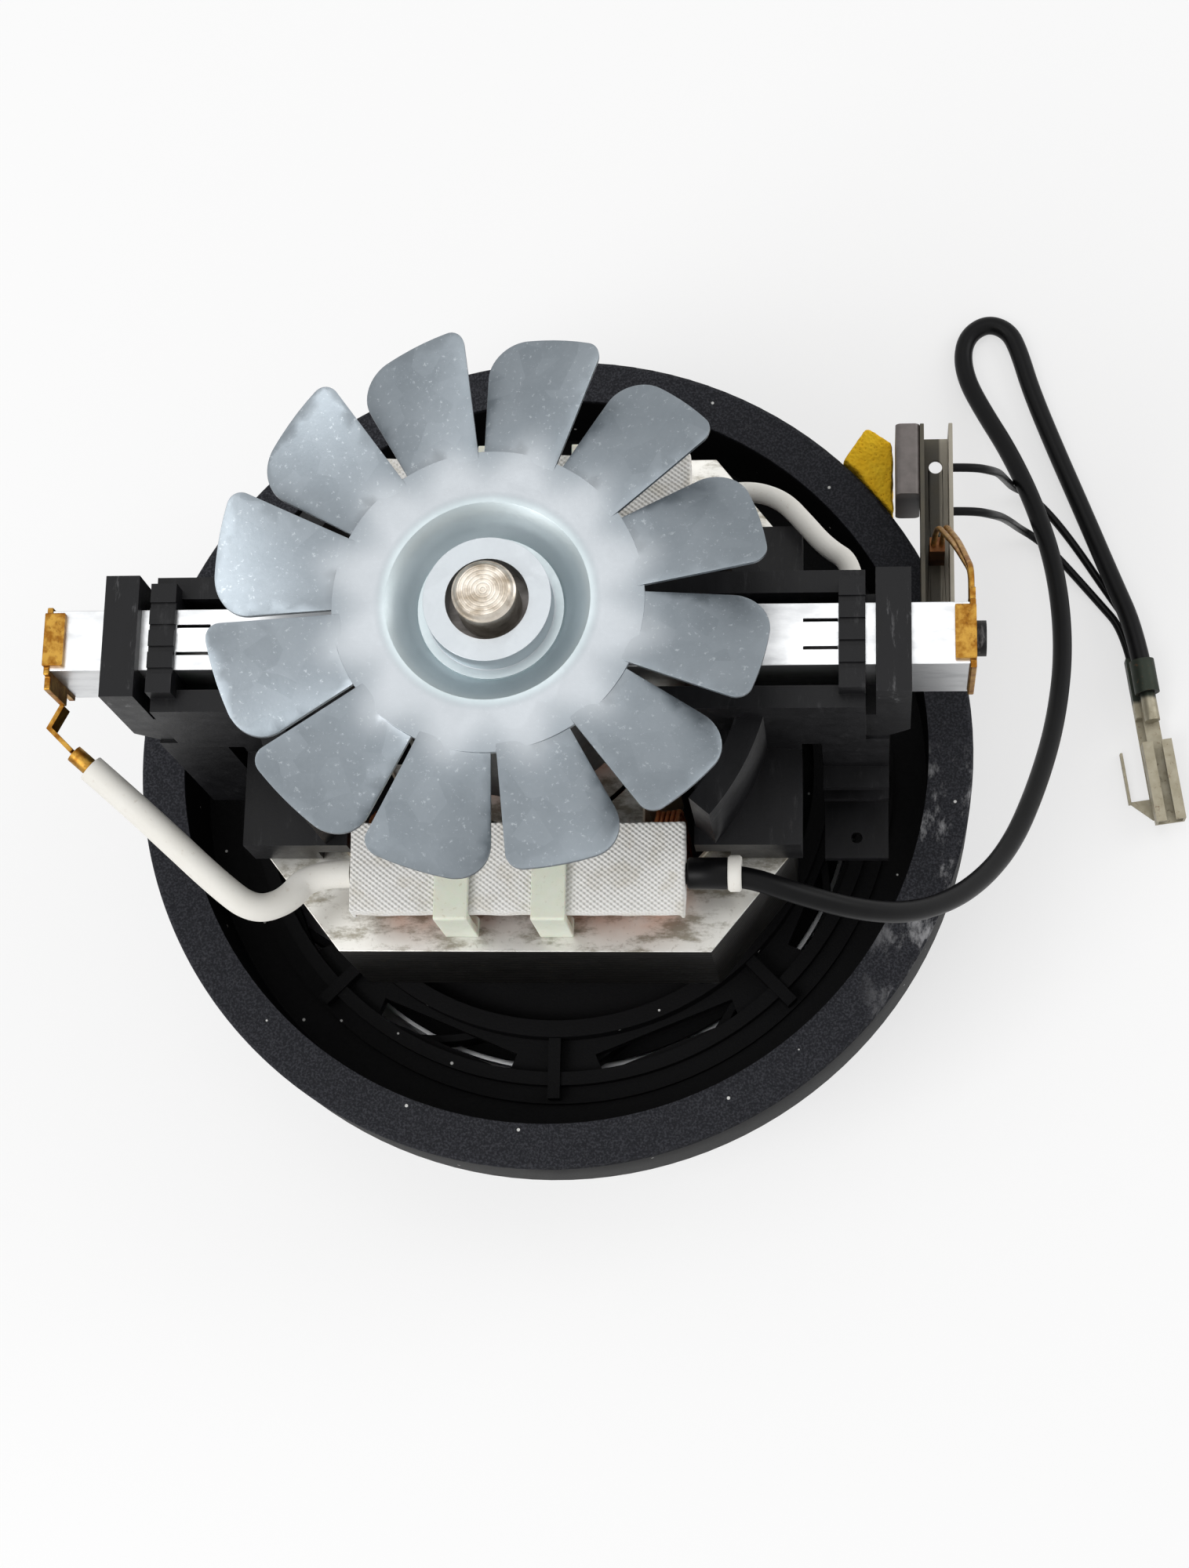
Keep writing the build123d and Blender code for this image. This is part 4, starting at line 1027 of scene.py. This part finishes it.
def wireCurve(name, lines, radius, order=3, closed=False, sides=3, steps=6):
    data = bpy.data.curves.new(name, "CURVE")
    data.dimensions = "3D"
    data.bevel_depth = radius
    data.bevel_resolution = sides
    data.resolution_u = steps
    data.use_fill_caps = True
    for points in lines:
        spline = data.splines.new("NURBS")
        spline.points.add(len(points) - 1)
        for spot, point in zip(spline.points, points):
            spot.co = (*point, 1.0)
        spline.order_u = order
        if closed:
            spline.use_cyclic_u = True
        else:
            spline.use_endpoint_u = True
        spline.resolution_u = steps
    return data


def splineLength(curveObject):
    bare = curveObject.copy()
    bare.data = curveObject.data.copy()
    bare.data.bevel_depth = 0
    line = bpy.data.meshes.new_from_object(bare)
    spots = [v.co for v in line.vertices]
    total = sum((b - a).length for a, b in zip(spots, spots[1:]))
    bpy.data.objects.remove(bare)
    bpy.data.meshes.remove(line)
    return total


# Leads

leads = {
    "longLead": {
        "node": "long_lead",
        "radius": 1.5,
        "route": [
            (22.55, -26.5, 72.8),
            (29.5, -26.5, 72.8),
            (37.0, -28.8, 71.0),
            (45.5, -29.9, 65.0),
            (53.0, -28.6, 57.0),
            (60.5, -23.6, 47.0),
            (67.0, -15.0, 36.5),
            (71.8, -3.0, 27.0),
            (75.4, 9.6, 19.0),
            (77.2, 23.0, 13.6),
            (76.4, 36.7, 10.4),
            (73.4, 48.4, 8.2),
            (69.6, 58.6, 5.6),
            (65.6, 66.8, 3.2),
            (63.1, 72.6, 2.0),
            (62.4, 77.4, 1.6),
            (63.6, 81.0, 1.6),
            (66.8, 82.9, 1.6),
            (70.2, 81.4, 1.6),
            (71.8, 77.6, 1.6),
            (73.6, 70.8, 1.6),
            (77.2, 60.8, 1.6),
            (81.6, 49.4, 1.6),
            (85.7, 37.9, 2.6),
            (89.25, 27.79, 4.45),
            (90.72, 17.9, 4.45),
        ],
    },
    "shortLeadUpper": {
        "node": "short_lead_upper",
        "radius": 0.65,
        "route": [
            (59.28, 42.6, 40.6),
            (62.6, 42.6, 40.6),
            (65.2, 43.2, 37.6),
            (66.6, 45.3, 31.0),
            (67.8, 48.8, 20.0),
            (69.0, 51.8, 10.0),
            (70.2, 53.3, 3.5),
            (72.6, 53.0, 1.2),
            (76.2, 49.6, 0.8),
            (80.2, 44.0, 0.8),
            (84.6, 36.8, 0.8),
            (89.51, 29.0, 1.1),
            (90.94, 19.31, 1.1),
        ],
    },
    "shortLeadLower": {
        "node": "short_lead_lower",
        "radius": 0.65,
        "route": [
            (59.28, 35.7, 40.6),
            (62.6, 35.7, 40.6),
            (65.3, 36.2, 37.6),
            (66.9, 38.2, 31.0),
            (68.4, 41.6, 20.0),
            (69.8, 44.6, 10.0),
            (71.2, 46.1, 3.5),
            (73.4, 45.6, 1.2),
            (76.4, 43.2, 0.8),
            (79.6, 39.4, 0.8),
            (83.4, 34.7, 0.8),
            (88.03, 28.78, 1.1),
            (89.46, 19.09, 1.1),
        ],
    },
}
sleeves = {
    "leftWhiteLead": {
        "node": "left_white_lead",
        "radius": 1.9,
        "route": [
            (-56.1, -14.6, 84.0),
            (-50.6, -19.2, 82.6),
            (-45.0, -24.1, 81.0),
            (-39.4, -29.1, 79.2),
            (-34.8, -32.5, 77.0),
            (-30.7, -30.8, 74.8),
            (-28.2, -26.5, 72.8),
            (-22.55, -26.5, 72.8),
        ],
    },
    "rearWhiteLead": {
        "node": "rear_white_lead",
        "radius": 1.4,
        "route": [
            (22.55, 27.0, 72.8),
            (27.0, 27.0, 72.8),
            (31.6, 26.9, 73.8),
            (35.4, 24.9, 75.2),
            (38.2, 21.2, 76.8),
            (41.2, 17.0, 78.6),
            (44.9, 14.0, 80.2),
            (44.9, 9.2, 80.4),
        ],
    },
}
leadMesh = {"sides": 5, "steps": 10}


def layLead(name, spec, finish):
    points = inMetres(spec["route"])
    data = wireCurve(name, [points], spec["radius"] * mm, **leadMesh)
    piece = place(name, data, finish, "frame")
    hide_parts(spec["node"])
    return piece


def layLeads():
    for name, spec in leads.items():
        piece = layLead(name, spec, leadRubber)
        round(splineLength(piece), 4)
    for name, spec in sleeves.items():
        piece = layLead(name, spec, sleeve)
        round(splineLength(piece), 4)


layLeads()
print("leads laid")


# Small pieces on the long lead

trim = {
    "sleeveLength": 5.5,
    "sleeveRadius": 2.15,
    "tieAt": 5.6,
    "tieRadius": 2.45,
    "tieWidth": 1.8,
    "sleeveAt": 0.2,
    "clearance": 0.02,
    "edgeIn": 0.25,
    "edgeAlong": 0.3,
    "segments": 36,
}


def ringBand(name, start, along, radius, inner, length, finish):
    # an open sleeve with a wall, chamfered at both ends
    lip = radius - trim["edgeIn"]
    profile = [(inner, 0.0), (lip, 0.0), (radius, trim["edgeAlong"])]
    profile += [(radius, length - trim["edgeAlong"]), (lip, length), (inner, length)]
    segments = trim["segments"]
    turn = Vector((0, 0, 1)).rotation_difference(Vector(along).normalized())
    made = bmesh.new()
    rows = []
    for step in range(segments):
        angle = 2 * math.pi * step / segments
        row = []
        for reach, level in profile:
            spot = turn @ Vector((reach * math.cos(angle), reach * math.sin(angle), level))
            row.append(made.verts.new((Vector(start) + spot) * mm))
        rows.append(row)
    for step, row in enumerate(rows):
        after = rows[(step + 1) % segments]
        for number in range(len(profile)):
            ahead = (number + 1) % len(profile)
            made.faces.new((row[number], after[number], after[ahead], row[ahead]))
    bmesh.ops.recalc_face_normals(made, faces=made.faces)
    data = bpy.data.meshes.new(name)
    made.to_mesh(data)
    made.free()
    data.shade_smooth()
    return place(name, data, finish, "frame")


def trimLeads():
    lead = leads["longLead"]
    first, second = Vector(lead["route"][0]), Vector(lead["route"][1])
    along = (second - first).normalized()
    core = lead["radius"] + trim["clearance"]
    start = first + along * trim["sleeveAt"]
    ringBand("leadSleeve", start, along, trim["sleeveRadius"], core, trim["sleeveLength"],
             leadRubber)
    start = first + along * trim["tieAt"]
    ringBand("leadTie", start, along, trim["tieRadius"], core, trim["tieWidth"],
             sleeve)


trimLeads()
print("lead trim placed")


# Field coils: one unbroken wire in each, in many close turns

coil = {
    "wire": 0.62,
    "rows": 13,
    "layers": 5,
    "rowPitch": 0.74,
    "layerPitch": 0.72,
    "legX": 18.0,
    "legY": 14.7,
    "leanOut": 6.5,
    "leanUp": 5.4,
    "legTop": 65.0,
    "legBottom": 39.0,
    "corner": 2.2,
    "wander": 0.13,
    "luck": 11,
    "mesh": {"sides": 1, "steps": 3},
}


def coilLine(side):
    luck = random.Random(coil["luck"] + side)
    c = coil
    points = []
    for row in range(c["rows"]):
        layers = list(range(c["layers"]))
        if row % 2:
            layers.reverse()
        for layer in layers:
            x = c["legX"] + layer * c["layerPitch"]
            leg = -c["legY"] - row * c["rowPitch"]
            cross = leg - c["leanOut"]
            high = c["legTop"] + c["leanUp"] + layer * c["layerPitch"]
            low = c["legBottom"] - c["leanUp"] - layer * c["layerPitch"]
            bend = c["corner"]
            turn = [(-x, leg, c["legBottom"]), (-x, leg, c["legTop"])]
            turn += [(-x, cross, high - bend / 2), (-x + bend, cross, high)]
            turn += [(-x / 3, cross, high), (x / 3, cross, high)]
            turn += [(x - bend, cross, high), (x, cross, high - bend / 2)]
            turn += [(x, leg, c["legTop"]), (x, leg, c["legBottom"])]
            turn += [(x, cross, low + bend / 2), (x - bend, cross, low)]
            turn += [(-x + bend, cross, low), (-x, cross, low + bend / 2)]
            for point in turn:
                shift = [luck.uniform(-c["wander"], c["wander"]) for axis in range(3)]
                points.append(Vector(point) + Vector(shift))
    if side > 0:
        points = [Vector((-p.x, -p.y, p.z)) for p in points]
    return [p * mm for p in points]


def windCoils():
    for name, side, node in (("frontCoil", -1, "front_coil"), ("rearCoil", 1, "rear_coil")):
        data = wireCurve(name, [coilLine(side)], coil["wire"] / 2 * mm, **coil["mesh"])
        piece = place(name, data, enamel, "frame")
        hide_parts(node)


windCoils()
print("field coils wound")


# Armature: closed bundles that span five slots, end to end of the core

armature = {
    "slots": 12,
    "span": 5,
    "bundles": 5,
    "wire": 1.15,
    "slotRadius": 13.2,
    "crossRadius": 9.4,
    "top": 64.0,
    "bottom": 40.0,
    "rise": 1.15,
    "firstRise": 1.6,
    "inset": 1.2,
    "layerStep": 0.55,
    "crossStep": 0.2,
    "tuck": 2,
    "arcSteps": 4,
    "mesh": {"sides": 1, "steps": 4},
}


def armatureLine(slot, layer):
    a = armature
    start = math.radians(360 / a["slots"] * slot)
    end = math.radians(360 / a["slots"] * (slot + a["span"]))
    inSlot = a["slotRadius"] - a["inset"] + layer * a["layerStep"]
    dip = inSlot - a["crossRadius"] - layer * a["crossStep"]
    points = []
    for level, away in ((a["top"], 1), (a["bottom"], -1)):
        height = level + away * (a["firstRise"] + layer * a["rise"])
        sweep = (start, end) if away > 0 else (end, start)
        points.append((inSlot, sweep[0], level - away * a["tuck"]))
        for step in range(a["arcSteps"] + 1):
            share = step / a["arcSteps"]
            reach = inSlot - dip * math.sin(math.pi * share)
            points.append((reach, sweep[0] + (sweep[1] - sweep[0]) * share, height))
        points.append((inSlot, sweep[1], level - away * a["tuck"]))
    return [Vector((r * math.cos(t), r * math.sin(t), z)) * mm for r, t, z in points]


def windArmature():
    lines = []
    for layer in range(armature["bundles"]):
        for slot in range(armature["slots"]):
            lines.append(armatureLine(slot, layer))
    radius = armature["wire"] / 2 * mm
    data = wireCurve("armatureWinding", lines, radius, closed=True, **armature["mesh"])
    piece = place("armatureWinding", data, windingWire, "rotor")
    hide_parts("armature_winding")


windArmature()
print("armature wound")


# Soft pieces grown from their solids

softSpecs = {
    "frontTape": {
        "node": "front_coil_tape",
        "voxel": 0.28,
        "smooth": 6,
        "wobble": 0.22,
        "size": 4.0,
    },
    "rearTape": {
        "node": "rear_coil_tape",
        "voxel": 0.28,
        "smooth": 6,
        "wobble": 0.22,
        "size": 4.0,
    },
    "foamPad": {
        "node": "cutout_cushion",
        "voxel": 0.4,
        "smooth": 8,
        "wobble": 0.35,
        "size": 3.0,
    },
}
softening = {"factor": 0.5, "sink": 0.3}


def softened(name, spec, finish):
    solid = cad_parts[spec["node"]]
    data = solid.data.copy()
    data.name = name
    made = bpy.data.objects.new(name, data)
    bpy.context.scene.collection.objects.link(made)
    weld = made.modifiers.new("weld", "WELD")
    weld.merge_threshold = rounding["weld"] * mm
    remesh = made.modifiers.new("remesh", "REMESH")
    remesh.mode = "VOXEL"
    remesh.voxel_size = spec["voxel"] * mm
    soft = made.modifiers.new("soft", "SMOOTH")
    soft.iterations = spec["smooth"]
    soft.factor = softening["factor"]
    graph = bpy.context.evaluated_depsgraph_get()
    baked = bpy.data.meshes.new_from_object(made.evaluated_get(graph))
    made.modifiers.clear()
    made.data = baked
    bpy.data.meshes.remove(data)
    for vertex in baked.vertices:
        spot = vertex.co / (spec["size"] * mm)
        push = noise.noise(spot) * spec["wobble"] * mm
        vertex.co += vertex.normal * (push - spec["wobble"] * mm * softening["sink"])
    baked.materials.clear()
    baked.materials.append(finish)
    baked.shade_smooth()
    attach(made, "frame")
    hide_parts(spec["node"])
    return made


softened("frontTape", softSpecs["frontTape"], tape)
softened("rearTape", softSpecs["rearTape"], tape)
foamPad = softened("foamPad", softSpecs["foamPad"], yellowFoam)
print("soft pieces shaped")


# Floor, background and lamps

studio = {
    "floorSize": 6.0,
    "floorTone": (0.93, 0.93, 0.93),
    "floorRough": 0.9,
    "floorGlow": 0.6,
    "ambient": 0.55,
    "lamps": [
        {"place": (-0.16, 0.36, 1.46), "size": (0.62, 0.62), "power": 1.7, "aim": (0, 0, 0.1)},
        {"place": (-0.55, -0.48, 0.92), "size": (0.62, 0.62), "power": 6.0, "aim": (0, 0, 0.1)},
        {"place": (1.2, 0.5, 0.8), "size": (0.7, 0.9), "power": 4.0, "aim": (0, 0, 0.05)},
    ],  # places and sizes in metres, power in watts
}


def seenRays(tree):
    # 1 for the rays of the view, of reflections and of clear materials
    path = tree.nodes.new("ShaderNodeLightPath")
    total = None
    for label in ("Is Camera Ray", "Is Glossy Ray", "Is Transmission Ray"):
        if total is None:
            total = path.outputs[label]
            continue
        plus = tree.nodes.new("ShaderNodeMath")
        plus.operation = "MAXIMUM"
        tree.links.new(total, plus.inputs[0])
        tree.links.new(path.outputs[label], plus.inputs[1])
        total = plus.outputs[0]
    return total


def setWorld():
    world = bpy.data.worlds.new("studio")
    bpy.context.scene.world = world
    world.use_nodes = True
    tree = world.node_tree
    tree.nodes.clear()
    out = tree.nodes.new("ShaderNodeOutputWorld")
    dim = tree.nodes.new("ShaderNodeBackground")
    dim.inputs["Color"].default_value = (1, 1, 1, 1)
    dim.inputs["Strength"].default_value = studio["ambient"]
    full = tree.nodes.new("ShaderNodeBackground")
    full.inputs["Color"].default_value = (1, 1, 1, 1)
    full.inputs["Strength"].default_value = 1.0
    blend = tree.nodes.new("ShaderNodeMixShader")
    tree.links.new(seenRays(tree), blend.inputs[0])
    tree.links.new(dim.outputs[0], blend.inputs[1])
    tree.links.new(full.outputs[0], blend.inputs[2])
    tree.links.new(blend.outputs[0], out.inputs[0])


def floorMaterial():
    material = bpy.data.materials.new("floor")
    material.use_nodes = True
    tree = material.node_tree
    shader = next(n for n in tree.nodes if n.type == "BSDF_PRINCIPLED")
    shader.inputs["Base Color"].default_value = (*studio["floorTone"], 1)
    shader.inputs["Roughness"].default_value = studio["floorRough"]
    shader.inputs["Specular IOR Level"].default_value = 0.0
    glow = tree.nodes.new("ShaderNodeEmission")
    share = tree.nodes.new("ShaderNodeMath")
    share.operation = "MULTIPLY"
    share.inputs[1].default_value = studio["floorGlow"]
    tree.links.new(seenRays(tree), share.inputs[0])
    blend = tree.nodes.new("ShaderNodeMixShader")
    tree.links.new(share.outputs[0], blend.inputs[0])
    tree.links.new(shader.outputs[0], blend.inputs[1])
    tree.links.new(glow.outputs[0], blend.inputs[2])
    out = next(n for n in tree.nodes if n.type == "OUTPUT_MATERIAL")
    tree.links.new(blend.outputs[0], out.inputs[0])
    return material


def layFloor():
    half = studio["floorSize"] / 2
    data = bpy.data.meshes.new("floor")
    corners = [(-half, -half, 0), (half, -half, 0), (half, half, 0), (-half, half, 0)]
    data.from_pydata(corners, [], [(0, 1, 2, 3)])
    floor = bpy.data.objects.new("floor", data)
    bpy.context.scene.collection.objects.link(floor)
    data.materials.append(floorMaterial())


def hangLamps():
    for number, spec in enumerate(studio["lamps"]):
        data = bpy.data.lights.new(f"softbox{number}", "AREA")
        data.shape = "RECTANGLE"
        data.size, data.size_y = spec["size"]
        data.energy = spec["power"]
        lamp = bpy.data.objects.new(f"softbox{number}", data)
        lamp.location = spec["place"]
        aim = Vector(spec["aim"]) - Vector(spec["place"])
        lamp.rotation_euler = aim.to_track_quat("-Z", "Y").to_euler()
        bpy.context.scene.collection.objects.link(lamp)


setWorld()
layFloor()
hangLamps()
bpy.context.scene.view_settings.view_transform = "Standard"
print("studio lit")
